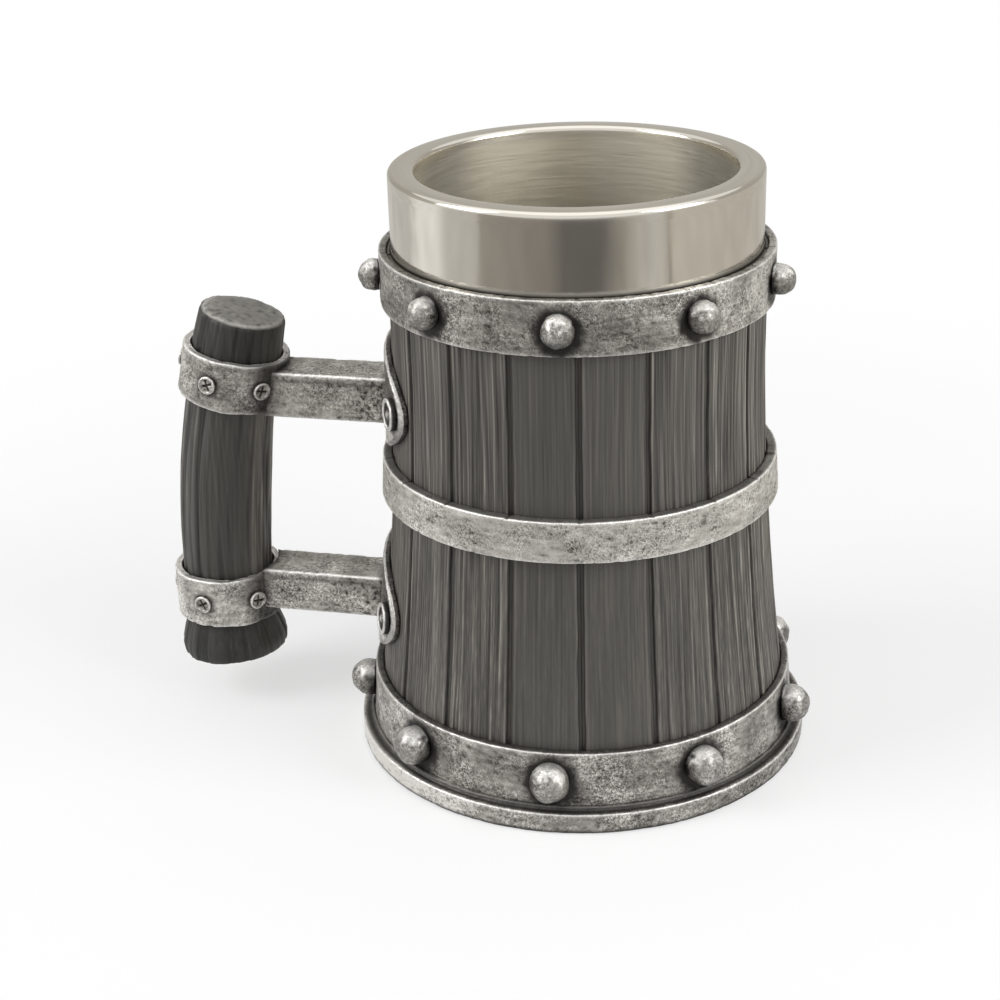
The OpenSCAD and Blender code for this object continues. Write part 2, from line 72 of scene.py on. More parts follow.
def add_node(tree, kind, inputs=(), stops=(), **settings):
    """Adds a node: inputs maps sockets to values or to their sources, and stops fill a colour ramp."""
    node = tree.nodes.new(kind)
    for name, value in settings.items():
        setattr(node, name, value)
    for name, value in dict(inputs).items():
        if isinstance(value, bpy.types.NodeSocket):
            tree.links.new(value, node.inputs[name])
        else:
            node.inputs[name].default_value = value
    for k, (place, colour) in enumerate(stops):
        elements = node.color_ramp.elements
        element = elements[0] if k == 0 else elements[-1] if k == 1 else elements.new(place)
        element.position = place
        element.color = srgb(colour)
    return node


def empty_tree(owner):
    """The node tree of a material or world, cleared."""
    owner.use_nodes = True
    owner.node_tree.nodes.clear()
    return owner.node_tree


def new_finish(name, *layers):
    """A material, its emptied tree, the piece's own coordinates and the layers painted on it."""
    finish = bpy.data.materials.new(name)
    tree = empty_tree(finish)
    where = add_node(tree, "ShaderNodeTexCoord").outputs["Object"]
    maps = [add_node(tree, "ShaderNodeAttribute", attribute_name=layer).outputs["Fac"] for layer in layers]
    return finish, tree, where, *maps


def seen_white(tree):
    """1 for rays from the camera, from gloss and through glass, and 0 for the light on the object."""
    path = add_node(tree, "ShaderNodeLightPath").outputs
    gloss = add_node(tree, "ShaderNodeMath", {0: path["Is Glossy Ray"], 1: path["Is Transmission Ray"]},
        operation="MAXIMUM")
    seen = add_node(tree, "ShaderNodeMath", {0: path["Is Camera Ray"], 1: gloss.outputs[0]},
        operation="MAXIMUM")
    return seen.outputs[0]


def mesh_object(name, bm, finish):
    """Turns a bmesh into an object of the scene, with its material."""
    data = bpy.data.meshes.new(name)
    bm.to_mesh(data)
    bm.free()
    data.materials.append(finish)
    thing = bpy.data.objects.new(name, data)
    scene.collection.objects.link(thing)
    return thing


floor_drop = 0.05 * mm
floor_half = 6.0
shadow_r = 0.12
white_r = 0.40
matt_white, tree, where = new_finish("matt white table")
reach = add_node(tree, "ShaderNodeVectorMath", {0: where}, operation="LENGTH")
far = add_node(tree, "ShaderNodeMapRange", {"Value": reach.outputs["Value"], "From Min": shadow_r,
    "From Max": white_r, "To Min": 0.55, "To Max": 1.0}, interpolation_type="SMOOTHSTEP")
share = add_node(tree, "ShaderNodeMath", {0: seen_white(tree), 1: far.outputs[0]}, operation="MULTIPLY")
paint = add_node(tree, "ShaderNodeBsdfDiffuse", {"Color": (0.92, 0.92, 0.92, 1)})
glow = add_node(tree, "ShaderNodeEmission", {"Color": (1, 1, 1, 1)})
both = add_node(tree, "ShaderNodeMixShader", {0: share.outputs[0], 1: paint.outputs[0], 2: glow.outputs[0]})
add_node(tree, "ShaderNodeOutputMaterial", {"Surface": both.outputs[0]})

bm = bmesh.new()
bmesh.ops.create_grid(bm, x_segments=1, y_segments=1, size=floor_half)
bmesh.ops.translate(bm, verts=bm.verts, vec=(0, 0, -floor_drop))
floor = mesh_object("floor", bm, matt_white)

world = bpy.data.worlds.new("white room")
scene.world = world
tree = empty_tree(world)
level = add_node(tree, "ShaderNodeMapRange", {"Value": seen_white(tree), "To Min": 0.5, "To Max": 1.0})
room = add_node(tree, "ShaderNodeBackground", {"Color": (1, 1, 1, 1), "Strength": level.outputs[0]})
add_node(tree, "ShaderNodeOutputWorld", {"Surface": room.outputs[0]})

# Lamps: a large softbox on each side of the tankard, so that its front is the darker part, as in the
# photograph. Both point at the middle of the barrel.
softbox_size = 0.60
softbox_power = 7.0
barrel_middle = Vector((0, 0, 0.07))
for lamp_name, lamp_place in (
        ("left softbox", (-0.85, -0.42, 0.70)), ("right softbox", (0.90, -0.25, 0.60))):
    lamp_data = bpy.data.lights.new(lamp_name, "AREA")
    lamp_data.size = softbox_size
    lamp_data.energy = softbox_power
    lamp = bpy.data.objects.new(lamp_name, lamp_data)
    aim = barrel_middle - Vector(lamp_place)
    lamp.matrix_world = Matrix.Translation(lamp_place) @ aim.to_track_quat("-Z", "Y").to_matrix().to_4x4()
    scene.collection.objects.link(lamp)

# Cards: a ring on the table, an arc behind the tankard and a glowing sheet above it, as a product studio
# has. Only gloss sees them, and they paint reflections: the ring's greys are the painted reflection in the
# polished collar, the arc's in the lip, and the glowing sheet paints the highlight line along every
# upper edge.
card_lift = 3 * mm
card_steps = 48


def sweep(bm, start, angle, steps):
    """Turns a wire in the XZ plane to where its sweep starts, and spins it about the Z axis."""
    bmesh.ops.rotate(bm, verts=bm.verts, matrix=Matrix.Rotation(start, 3, "Z"))
    bmesh.ops.spin(bm, geom=bm.verts[:] + bm.edges[:], axis=(0, 0, 1), angle=angle, steps=steps)


def add_card(name, ends, turns, stops, power=1.0):
    """Sweeps a line through an arc about the tankard; its greys, painted reflections, go by direction."""
    paper, tree, where = new_finish(name)
    around = add_node(tree, "ShaderNodeTexGradient", {"Vector": where}, gradient_type="RADIAL")
    smudges = add_node(tree, "ShaderNodeTexNoise", {"Vector": where, "Scale": 0.016 * per_mm})
    shift = add_node(tree, "ShaderNodeMapRange", {"Value": smudges.outputs[0], "To Min": -0.02,
        "To Max": 0.02})
    place = add_node(tree, "ShaderNodeMath", {0: shift.outputs[0], 1: around.outputs["Fac"]},
        operation="ADD")
    greys = add_node(tree, "ShaderNodeValToRGB", {0: place.outputs[0]}, stops=stops)
    shade = add_node(tree, "ShaderNodeMapRange", {"Value": smudges.outputs[0], "From Min": 0.3,
        "From Max": 0.7, "To Min": 0.88 * power, "To Max": 1.08 * power})
    light = add_node(tree, "ShaderNodeEmission", {"Color": greys.outputs[0], "Strength": shade.outputs[0]})
    add_node(tree, "ShaderNodeOutputMaterial", {"Surface": light.outputs[0]})
    bm = bmesh.new()
    bm.edges.new([bm.verts.new(end) for end in ends])
    sweep(bm, math.radians(turns[0]), math.radians(turns[1] - turns[0]), card_steps)
    card = mesh_object(name, bm, paper)
    card.visible_camera = False
    card.visible_diffuse = False
    card.visible_shadow = False
    card.visible_transmission = False


def toward(degrees):
    """A direction about the tankard, -180 to 180 degrees, as a place on a card's ramp."""
    return degrees / 360 + 0.5


# Painted reflection for the collar, darkest on the side towards the camera.
add_card("painted reflection ring", [(0.12, 0, card_lift), (1.8, 0, card_lift)], (0, 360), [
    (0.0, "#ffffff"), (1.0, "#ffffff"), (toward(-168), "#ffffff"), (toward(-160), "#d5d4d2"),
    (toward(-138), "#d0cfcc"), (toward(-136), "#a7a39e"), (toward(-95), "#928e89"),
    (toward(-86), "#72706e"), (toward(-64), "#72706e"), (toward(-50), "#b4b0a9"),
    (toward(-35), "#d3d2d0"), (toward(-27), "#d3d1cc"),
    (toward(-25), "#8f8a80"), (toward(-22), "#d5d1c9"), (toward(60), "#cbc8c1"), (toward(110), "#d0cdc7"),
    (toward(165), "#d5d4d2"), (toward(175), "#ffffff")])
# Painted reflection for the lip.
add_card("painted reflection arc", [(2.2, 0, 0), (2.2, 0, 1.5)], (10, 190), [
    (0.0, "#c5c2bc"), (1.0, "#c5c2bc"), (toward(60), "#bbb8b2"), (toward(100), "#c9c6c0"),
    (toward(140), "#b5b2ac")])
# A glowing sheet that paints the highlight line along every upper edge.
add_card("painted highlight sheet", [(0.01, 0, 1.3), (0.9, 0, 1.3)], (0, 360), [(0.0, "#ffffff"), (1.0, "#ffffff")], 1.45)


# Steel liner: one pressed cup of stainless steel with a flat rolled lip and a collar that turns down
# outside it and stands in the stave heads. The collar and lip are buffed to a mirror, the inside is
# brushed round to a satin, and the collar is darker and duller at its foot, by the stave heads.
def outline(points, spacing, hidden_r=0):
    """A closed wire in the XZ plane from (x, z, corner radius) points, cut finer past a hidden radius."""
    bm = bmesh.new()
    corners = [bm.verts.new((x, 0, z)) for x, z, r in points]
    face = bm.faces.new(corners)
    for radius in sorted({r for x, z, r in points if r > 0}):
        rounded = [v for v, p in zip(corners, points) if p[2] == radius]
        bmesh.ops.bevel(bm, geom=rounded, offset=radius, offset_type="OFFSET", affect="VERTICES",
            segments=4, profile=0.5, material=-1)
    for edge in list(bm.edges):
        cuts = int(edge.calc_length() / spacing)
        if cuts and max(v.co.x for v in edge.verts) > hidden_r:
            bmesh.ops.subdivide_edges(bm, edges=[edge], cuts=cuts)
    bmesh.ops.delete(bm, geom=list(bm.faces), context="FACES_ONLY")
    return bm


def revolve(bm, steps):
    """Spins a wire right round the Z axis: a sixteenth of a turn, then doubled four times."""
    sector = math.pi / 8
    sweep(bm, 0, sector, steps // 16)
    for turns in (1, 2, 4, 8):
        copy = bmesh.ops.duplicate(bm, geom=bm.verts[:] + bm.edges[:] + bm.faces[:])["geom"]
        moved = [g for g in copy if isinstance(g, bmesh.types.BMVert)]
        bmesh.ops.rotate(bm, verts=moved, matrix=Matrix.Rotation(sector * turns, 3, "Z"))
    bmesh.ops.remove_doubles(bm, verts=bm.verts, dist=0.001 * mm)


def add_piece(name, bm, finish, slot, *nodes):
    """Makes a mesh object with its finish, which stands for its CAD nodes."""
    bmesh.ops.recalc_face_normals(bm, faces=bm.faces)
    piece = mesh_object(name, bm, finish)
    piece.data.shade_smooth()
    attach(piece, "root")
    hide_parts(*nodes)


def smoothstep(low, high, value):
    """0 below low, 1 above high and a soft step between."""
    t = min(1, max(0, (value - low) / (high - low)))
    return t * t * (3 - 2 * t)


def paint_layer(bm, name):
    """A number on each vertex of a piece, which its finish reads as an attribute."""
    layers = bm.verts.layers.float
    return layers.get(name) or layers.new(name)


lip_w = 6.4 * mm
sheet_t = 0.8 * mm
lip_edge_r = 1.1 * mm
liner_corner_r = 8 * mm
liner_spacing = 2.5 * mm
liner_steps = 288
seat_depth = 3 * mm
liner_low, liner_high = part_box("steel_liner")
rim_h = liner_high.z
collar_r = liner_high.x
mouth_r = collar_r - lip_w
stave_low, stave_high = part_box("stave_01")
stave_top_z = stave_high.z
seat_z = stave_top_z - seat_depth
dark_low_z = stave_top_z + 0.3 * mm
dark_high_z = stave_top_z + 1.9 * mm
bm = outline([
    (0, liner_low.z, 0), (mouth_r + sheet_t, liner_low.z, liner_corner_r + sheet_t),
    (mouth_r + sheet_t, rim_h - sheet_t, 0), (collar_r - sheet_t, rim_h - sheet_t, 0),
    (collar_r - sheet_t, seat_z, 0), (collar_r, seat_z, 0), (collar_r, dark_low_z, 0),
    (collar_r, stave_top_z + 1 * mm, 0), (collar_r, dark_high_z, 0), (collar_r, rim_h, lip_edge_r),
    (mouth_r, rim_h, lip_edge_r), (mouth_r, liner_low.z + sheet_t, liner_corner_r),
    (0, liner_low.z + sheet_t, 0)], liner_spacing)
satin = paint_layer(bm, "satin")
darkened = paint_layer(bm, "darkened")
for v in bm.verts:
    inside = v.co.x < mouth_r + lip_edge_r and v.co.z > liner_low.z + sheet_t / 2
    v[satin] = smoothstep(rim_h - 0.6 * mm, rim_h - 2 * mm, v.co.z) if inside else 0
    # The collar is darker and duller from the stave heads up to about 2 mm above them.
    v[darkened] = 0 if inside else 1 - smoothstep(dark_low_z, dark_high_z, v.co.z)
revolve(bm, liner_steps)

# Brushing leaves marks half a millimetre apart that run round the cup. A ramp by direction paints the
# satin with soft broad stripes of painted reflection, and clouds two centimetres wide vary the buffed part.
steel, tree, where, satin_map, darkened_map = new_finish("buffed and brushed stainless steel", "satin", "darkened")
marks_map = add_node(tree, "ShaderNodeMapping", {"Vector": where,
    "Scale": (0.075 * per_mm, 0.075 * per_mm, 2.1 * per_mm)})
marks = add_node(tree, "ShaderNodeTexNoise", {"Vector": marks_map.outputs[0], "Scale": 1.0, "Detail": 4.0})
around = add_node(tree, "ShaderNodeTexGradient", {"Vector": where}, gradient_type="RADIAL")
# Painted reflection: the inside wall is lighter and darker by the way it faces.
painted_reflection_bands = add_node(tree, "ShaderNodeValToRGB", {0: around.outputs["Fac"]}, stops=[
    (0.0, "#c4c0b2"), (1.0, "#c4c0b2"), (toward(30), "#a9a69e"), (toward(48), "#b1aea5"),
    (toward(62), "#d3cebf"), (toward(92), "#d3cebf"), (toward(99), "#d2cbb9"), (toward(106), "#d2cbb9"),
    (toward(116), "#d8d1bf"), (toward(138), "#d0c9b7"), (toward(152), "#b9b4a9"), (toward(168), "#b4b0a6")])
clouds = add_node(tree, "ShaderNodeTexNoise", {"Vector": where, "Scale": 0.045 * per_mm, "Detail": 3.0})
rough_marks = add_node(tree, "ShaderNodeMapRange", {"Value": marks.outputs[0], "From Min": 0.3,
    "From Max": 0.7, "To Min": 0.46, "To Max": 0.58})
rough_buff = add_node(tree, "ShaderNodeMapRange", {"Value": clouds.outputs[0], "From Min": 0.3,
    "From Max": 0.7, "To Min": 0.07, "To Max": 0.12})
rough = add_node(tree, "ShaderNodeMix", {0: satin_map, 2: rough_buff.outputs[0],
    3: rough_marks.outputs[0]})
buffed = add_node(tree, "ShaderNodeMix", {0: satin_map, 6: srgb("#d8d3c9"),
    7: painted_reflection_bands.outputs[0]}, data_type="RGBA")
darkening = add_node(tree, "ShaderNodeMapRange", {"Value": darkened_map, "From Min": 0.5})
dull = add_node(tree, "ShaderNodeMix", {0: darkened_map, 2: rough.outputs[0], 3: 0.6})
tint = add_node(tree, "ShaderNodeMix", {0: darkening.outputs[0], 6: buffed.outputs[2], 7: srgb("#3f3b35")},
    data_type="RGBA")
bump_level = add_node(tree, "ShaderNodeMath", {0: satin_map, 1: marks.outputs[0]},
    operation="MULTIPLY")
bump = add_node(tree, "ShaderNodeBump", {"Strength": 0.35, "Distance": 0.04 * mm,
    "Height": bump_level.outputs[0]})
surface = add_node(tree, "ShaderNodeBsdfPrincipled", {"Base Color": tint.outputs[2], "Metallic": 1.0,
    "Roughness": dull.outputs[0], "Normal": bump.outputs[0]})
add_node(tree, "ShaderNodeOutputMaterial", {"Surface": surface.outputs[0]})
add_piece("liner_cup", bm, steel, "polished_steel", "steel_liner")


# Staves: eighteen oak boards, bent and tapered to the bell of the barrel and stained dark grey. The
# grain is wire-brushed, so it stands in fine ridges, finer on some boards than on others. Each board is
# rebated along its joints, with a painted highlight along the edges of the rebates and a line of painted
# shade at their foot.
stave_count = 18
pitch = 2 * math.pi / stave_count
stave_turn = math.radians(1.2)
stave_gap = 0.1 * mm
seam_half = 0.76 * mm
seam_floor = 0.58 * mm
seam_depth = 0.95 * mm
foot_z = stave_low.z
foot_top_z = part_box("base_hoop")[1].z
barrel_top_r = 46 * mm
neck_r = 39.7 * mm
foot_in_r = 44 * mm
flare = 8.6 * mm
flare_start_z = 105 * mm
flare_power = 1.7
foot_splay = 1 * mm
grain_depth = 0.13 * mm
stave_rows = 58
stave_columns = 128
# How deeply the boards that differ from the rest are brushed, by their place round the barrel
brushed_depths = {13: 0.4, 14: 0.4, 15: 0.85, 16: 1.35, 17: 1.35}


def wood_r(z):
    """Outside radius of the barrel's wood at a height."""
    bell = barrel_top_r + flare * max(0, 1 - max(z, foot_top_z) / flare_start_z) ** flare_power
    return bell + foot_splay * max(0, foot_top_z - z) / (foot_top_z - foot_z)


def grain(across, along, seed):
    """Height of brushed grain at a place in millimetres, from about -1 in a groove to 1 on a ridge."""
    wander = noise.noise(Vector((across * 0.12, along * 0.018, seed + 5)))
    fibre = noise.noise(Vector((across * 1.9 + wander, along * 0.024, seed)))
    fine = noise.noise(Vector((across * 4.1 + wander, along * 0.06, seed + 9)))
    return 1.4 * fibre + 1.0 * fine


# Stain sinks into the grooves and is thin on the ridges, which gives the eye pale and dark lines. Fibres
# are 0.4 mm wide and 40 mm long, and stained patches are about a centimetre wide.
oak, tree, where, relief_map, tone_map, strength_map = new_finish(
    "wire-brushed grey stained oak", "relief", "tone", "strength")
fibre_map = add_node(tree, "ShaderNodeMapping", {"Vector": where,
    "Scale": (2.4 * per_mm, 2.4 * per_mm, 0.024 * per_mm)})
fibres = add_node(tree, "ShaderNodeTexNoise", {"Vector": fibre_map.outputs[0], "Scale": 1.0, "Detail": 3.0})
patch_map = add_node(tree, "ShaderNodeMapping", {"Vector": where,
    "Scale": (0.09 * per_mm, 0.09 * per_mm, 0.016 * per_mm)})
patches = add_node(tree, "ShaderNodeTexNoise", {"Vector": patch_map.outputs[0], "Scale": 1.0})
swing = add_node(tree, "ShaderNodeMath", {0: fibres.outputs[0], 1: 0.5}, operation="SUBTRACT")
ridges = add_node(tree, "ShaderNodeMath", {0: swing.outputs[0], 1: strength_map}, operation="MULTIPLY")
level = 0.44
for part, weight in (
        (relief_map, 0.30), (ridges.outputs[0], 0.60), (patches.outputs[0], 0.12), (tone_map, 0.06)):
    level = add_node(tree, "ShaderNodeMath", {0: part, 1: weight, 2: level},
        operation="MULTIPLY_ADD").outputs[0]
stain = add_node(tree, "ShaderNodeValToRGB", {0: level}, stops=[
    (0.0, "#2a2926"), (1.0, "#8a867e"), (0.25, "#3b3935"), (0.5, "#4e4c47"), (0.72, "#635f5a")])
fibre_bump = add_node(tree, "ShaderNodeBump", {"Strength": 0.5, "Distance": 0.08 * mm,
    "Height": ridges.outputs[0]})
surface = add_node(tree, "ShaderNodeBsdfPrincipled", {"Base Color": stain.outputs[0], "Roughness": 0.5,
    "Specular IOR Level": 0.35, "Normal": fibre_bump.outputs[0]})
add_node(tree, "ShaderNodeOutputMaterial", {"Surface": surface.outputs[0]})

width = pitch - stave_gap / barrel_top_r
stave_rise = (stave_top_z - foot_z) / stave_rows
shoulder_r = collar_r + 0.1 * mm
for i in range(stave_count):
    middle = (i + 0.5) * pitch + stave_turn
    bm = bmesh.new()
    heights = [foot_z + stave_rise * k for k in range(stave_rows + 1)]
    ring = [bm.verts.new((wood_r(z), 0, z)) for z in heights]
    ring += [bm.verts.new((x, 0, z)) for x, z in (
        (shoulder_r, stave_top_z), (shoulder_r, seat_z), (neck_r, seat_z), (foot_in_r, foot_z))]
    for a, b in zip(ring, ring[1:] + ring[:1]):
        bm.edges.new((a, b))
    sweep(bm, middle - width / 2, width, stave_columns)
    bmesh.ops.holes_fill(bm, edges=bm.edges[:], sides=0)
    relief = paint_layer(bm, "relief")
    tone = paint_layer(bm, "tone")
    strength = paint_layer(bm, "strength")
    brushing = brushed_depths.get(i, 1.0)
    stave_tone = noise.noise(Vector((i * 3.7, 1.3, 0.6))) * 2
    for v in bm.verts:
        turn = (math.atan2(v.co.y, v.co.x) - middle + math.pi) % (2 * math.pi) - math.pi
        across = turn * barrel_top_r / mm
        along = v.co.z / mm
        v[tone] = stave_tone
        v[strength] = brushing
        if v.co.xy.length < wood_r(v.co.z) - 0.01 * mm:
            v[relief] = 0.6 if v.co.z > stave_top_z - 0.01 * mm else -0.5
            continue
        rim = (width / 2 - abs(turn)) * barrel_top_r
        waver = 1 + 0.3 * noise.noise(Vector((along * 0.11, math.copysign(3, turn), i)))
        ease = 1 - smoothstep(seam_floor * waver, seam_half * waver, rim)
        height = grain(across, along, i * 11.3) * brushing
        # A painted shade line at the foot of each rebate's wall, and a painted highlight strip along its
        # edge.
        shade = 1 - smoothstep(0, 0.22 * mm, abs(rim - seam_floor * waver - 0.06 * mm))
        rubbed = 1 - smoothstep(0, 0.45 * mm, abs(rim - seam_half * waver - 0.35 * mm))
        v[relief] = height * (1 - ease) - 0.1 * ease - 1.3 * shade + 0.6 * rubbed
        inward = seam_depth * ease + grain_depth * (1 - height) * (1 - ease)
        v.co.x -= inward * math.cos(middle + turn)
        v.co.y -= inward * math.sin(middle + turn)
    add_piece(f"oak_stave_{i + 1:02d}", bm, oak, "stave_wood", f"stave_{i + 1:02d}")

# Bottom board: the barrel's head, a plain turned oak disc in the croze, out of sight under the liner.
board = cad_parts["bottom_board"]
board.data.materials.clear()
board.data.materials.append(oak)


# Hoops: three cast iron rings with an aged silver-grey patina. Dark patina stays in the pits, painted
# shadow lies beside and below the studs, and handling has rubbed the edges bright. The top and base hoops
# are painted lighter on a side, as painted light. They are driven down over the staves.
hoop_gap = 0.1 * mm
hoop_edge_r = 0.45 * mm
hoop_steps = 560
hoop_spacing = 0.6 * mm


def aged_metal(name, dark, middle, light, bright, roughness=0.42):
    """Metal with dark pits, edges and high spots rubbed bright, and a layer of painted shade and deposits.

    Its grit is half a millimetre wide and gathers in patches of about a centimetre. Brush marks lie
    level, a millimetre high and six long.
    """
    finish, tree, where, relief_map, edge_map, shade_and_grime_map = new_finish(name, "relief", "edge", "shade_and_grime")
    grit = add_node(tree, "ShaderNodeTexNoise", {"Vector": where, "Scale": 1.8 * per_mm, "Detail": 2.5,
        "Roughness": 0.6, "Distortion": 0.9})
    crackle = add_node(tree, "ShaderNodeMapRange", {"Value": grit.outputs[0], "From Min": 0.36,
        "From Max": 0.62, "To Min": -0.5, "To Max": 0.5})
    areas = add_node(tree, "ShaderNodeTexNoise", {"Vector": where, "Scale": 0.11 * per_mm})
    share = add_node(tree, "ShaderNodeMapRange", {"Value": areas.outputs[0], "From Min": 0.38,
        "From Max": 0.62, "To Min": 0.15, "To Max": 0.60})
    brush_map = add_node(tree, "ShaderNodeMapping", {"Vector": where,
        "Scale": (0.17 * per_mm, 0.17 * per_mm, 0.9 * per_mm)})
    brushed = add_node(tree, "ShaderNodeTexNoise", {"Vector": brush_map.outputs[0], "Scale": 1.0,
        "Detail": 4.0})
    level = 0.30
    for part, weight in (
            (relief_map, 0.40), (brushed.outputs[0], 0.45), (crackle.outputs[0], share.outputs[0])):
        level = add_node(tree, "ShaderNodeMath", {0: part, 1: weight, 2: level},
            operation="MULTIPLY_ADD").outputs[0]
    patina = add_node(tree, "ShaderNodeValToRGB", {0: level}, stops=[
        (0.05, dark), (0.95, bright), (0.36, middle), (0.64, light)])
    rub = add_node(tree, "ShaderNodeMath", {0: grit.outputs[0], 1: 1.2, 2: 0.15}, operation="MULTIPLY_ADD",
        use_clamp=True)
    rubbed = add_node(tree, "ShaderNodeMath", {0: edge_map, 1: rub.outputs[0]}, operation="MULTIPLY")
    worn = add_node(tree, "ShaderNodeMix", {0: rubbed.outputs[0], 6: patina.outputs[0], 7: srgb("#fbf9f5")},
        data_type="RGBA")
    # Painted shade and grime: where the layer is high, the metal takes its darkest colour.
    darkened = add_node(tree, "ShaderNodeMix", {0: shade_and_grime_map, 6: worn.outputs[2], 7: srgb(dark)},
        data_type="RGBA")
    rough = add_node(tree, "ShaderNodeMapRange", {"Value": level, "From Min": 0.1, "From Max": 0.9,
        "To Min": roughness + 0.16, "To Max": roughness - 0.06})
    bump = add_node(tree, "ShaderNodeBump", {"Strength": 0.55, "Distance": 0.09 * mm,
        "Height": crackle.outputs[0]})
    surface = add_node(tree, "ShaderNodeBsdfPrincipled", {"Base Color": darkened.outputs[2], "Metallic": 0.72,
        "Roughness": rough.outputs[0], "Normal": bump.outputs[0]})
    add_node(tree, "ShaderNodeOutputMaterial", {"Surface": surface.outputs[0]})
    return finish


def cast_height(place, seed, stretch):
    """Height of a cast surface at a place in millimetres, from about -1 in a pit to 0.6."""
    p = Vector((place.x / stretch, place.y / stretch, place.z))
    dent = noise.noise(p * 0.17 + Vector((seed, 0, 0)))
    grit = noise.noise(p * 0.8 + Vector((0, seed, 0)))
    pit = max(0, noise.noise(p * 1.25 + Vector((0, 0, seed))) - 0.22)
    return 0.55 * dent + 0.45 * grit - 1.6 * pit


def weather(bm, depth, seed, stretch=1.0, nick=0.12 * mm):
    """Gives a piece its cast surface and nicked edges. Nothing moves outwards."""
    relief = paint_layer(bm, "relief")
    edge = paint_layer(bm, "edge")
    bmesh.ops.recalc_face_normals(bm, faces=bm.faces)
    bm.normal_update()
    moves = []
    for v in bm.verts:
        place = v.co / mm
        height = cast_height(place, seed, stretch)
        chip = v[edge] * max(0, noise.noise(place * 0.5 + Vector((seed, seed, 0))) - 0.12)
        v[relief] += height - 2.5 * chip
        calm = 1 - 0.7 * v[edge]
        moves.append(v.normal * (calm * depth * min(0, height - 0.6) - 3 * nick * chip))
    for v, move in zip(bm.verts, moves):
        v.co += move


def band_outline(low, high, thickness, rows=()):
    """Outline of a band that hugs the wood between two heights."""
    heights = [low] + [z for z in rows if low < z < high] + [high]
    inside = [(wood_r(z) + hoop_gap, z, 0) for z in heights]
    outside = [(wood_r(z) + hoop_gap + thickness, z, hoop_edge_r if z in (low, high) else 0)
        for z in reversed(heights)]
    return outline(inside + outside, hoop_spacing)


def mark_edges(bm, corners, spread):
    """Marks how near each vertex lies to the worn corners of a piece's outline."""
    edge = paint_layer(bm, "edge")
    for v in bm.verts:
        near = min((Vector((v.co.x, v.co.z)) - Vector(c)).length for c in corners)
        v[edge] = math.exp(-(near / spread) ** 2)


def ledge_shade(bm, top_z, face_r, amount=0.7):
    """Darkens the ledge that a hoop makes with the wood, up to the rubbed edge: painted shade and deposits.
    """
    shade_and_grime = paint_layer(bm, "shade_and_grime")
    for v in bm.verts:
        if v.co.z > top_z - 0.1 * mm:
            v[shade_and_grime] = amount * smoothstep(0.25 * mm, 0.6 * mm, face_r - v.co.x)


def paint_stud_shadows(bm, centres, radius, reach):
    """Paints shadow beside and below the studs on a hoop."""
    shade_and_grime = paint_layer(bm, "shade_and_grime")
    low = Vector((0, 0, 0.7 * mm))
    for v in bm.verts:
        near = min((v.co - c + low).length for c in centres)
        blot = 0.9 * mm * noise.noise(v.co / mm * 0.6)
        v[shade_and_grime] = max(v[shade_and_grime], 1 - smoothstep(radius + 0.7 * mm, radius + reach, near + blot))


def paint_lit_side(bm, degrees, amount):
    """Paints one side of a round piece lighter, as painted light where the lamps fall."""
    relief = paint_layer(bm, "relief")
    for v in bm.verts:
        turn = math.degrees(math.atan2(v.co.y, v.co.x)) - degrees
        v[relief] += amount * (1 - smoothstep(20, 50, abs((turn + 180) % 360 - 180)))


def notch(bm, top_z, depth, half_width):
    """Nicks a hoop's upper edge in line with the seams of the staves."""
    relief = paint_layer(bm, "relief")
    for v in bm.verts:
        turn = ((math.atan2(v.co.y, v.co.x) - stave_turn) / pitch + 0.5) % 1 - 0.5
        aside = abs(turn) * pitch * v.co.xy.length
        dip = (1 - smoothstep(0, half_width, aside)) * smoothstep(top_z - 2 * depth, top_z, v.co.z)
        v[relief] -= 1.5 * dip
        v.co.z -= depth * dip


hoop_finish = aged_metal("aged cast iron", "#2b2926", "#6a6762", "#9b9892", "#dedbd5")
# A lighter copy of the same cast iron, for the middle hoop.
bright_finish = aged_metal("aged cast iron, lighter", "#494743", "#9e9b94", "#c8c5be", "#f4f2ed")

stud_count = 9


def stud_seats(turn, lift, hoop_t):
    """Where the studs of a hoop stand: a place on its face and the direction out of it."""
    seats = []
    slope = math.atan((wood_r(lift - mm) - wood_r(lift + mm)) / (2 * mm))
    for k in range(stud_count):
        a = math.radians(turn) + 2 * math.pi * k / stud_count
        r = wood_r(lift) + hoop_gap + hoop_t
        out = Vector((math.cos(a) * math.cos(slope), math.sin(a) * math.cos(slope), math.sin(slope)))
        seats.append((Vector((r * math.cos(a), r * math.sin(a), lift)), out))
    return seats


top_hoop_t = 2 * mm
top_stud_r = 4 * mm
top_stud_turn = -84
top_low, top_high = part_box("top_hoop")
top_seats = stud_seats(top_stud_turn, (top_low.z + top_high.z) / 2, top_hoop_t)
bm = band_outline(top_low.z, top_high.z, top_hoop_t)
face_r = barrel_top_r + hoop_gap + top_hoop_t
mark_edges(bm, [(face_r, top_low.z), (face_r, top_high.z)], 0.4 * mm)
ledge_shade(bm, top_high.z, face_r, 0.3)
revolve(bm, hoop_steps)
weather(bm, 0.16 * mm, 3.1, 1.4)
notch(bm, top_high.z, 0.15 * mm, 0.5 * mm)
# Painted light on the top hoop's right side.
paint_lit_side(bm, -20, 0.4)
paint_stud_shadows(bm, [place for place, out in top_seats], top_stud_r, 3 * mm)
add_piece("top_band", bm, hoop_finish, "aged_metal", "top_hoop")

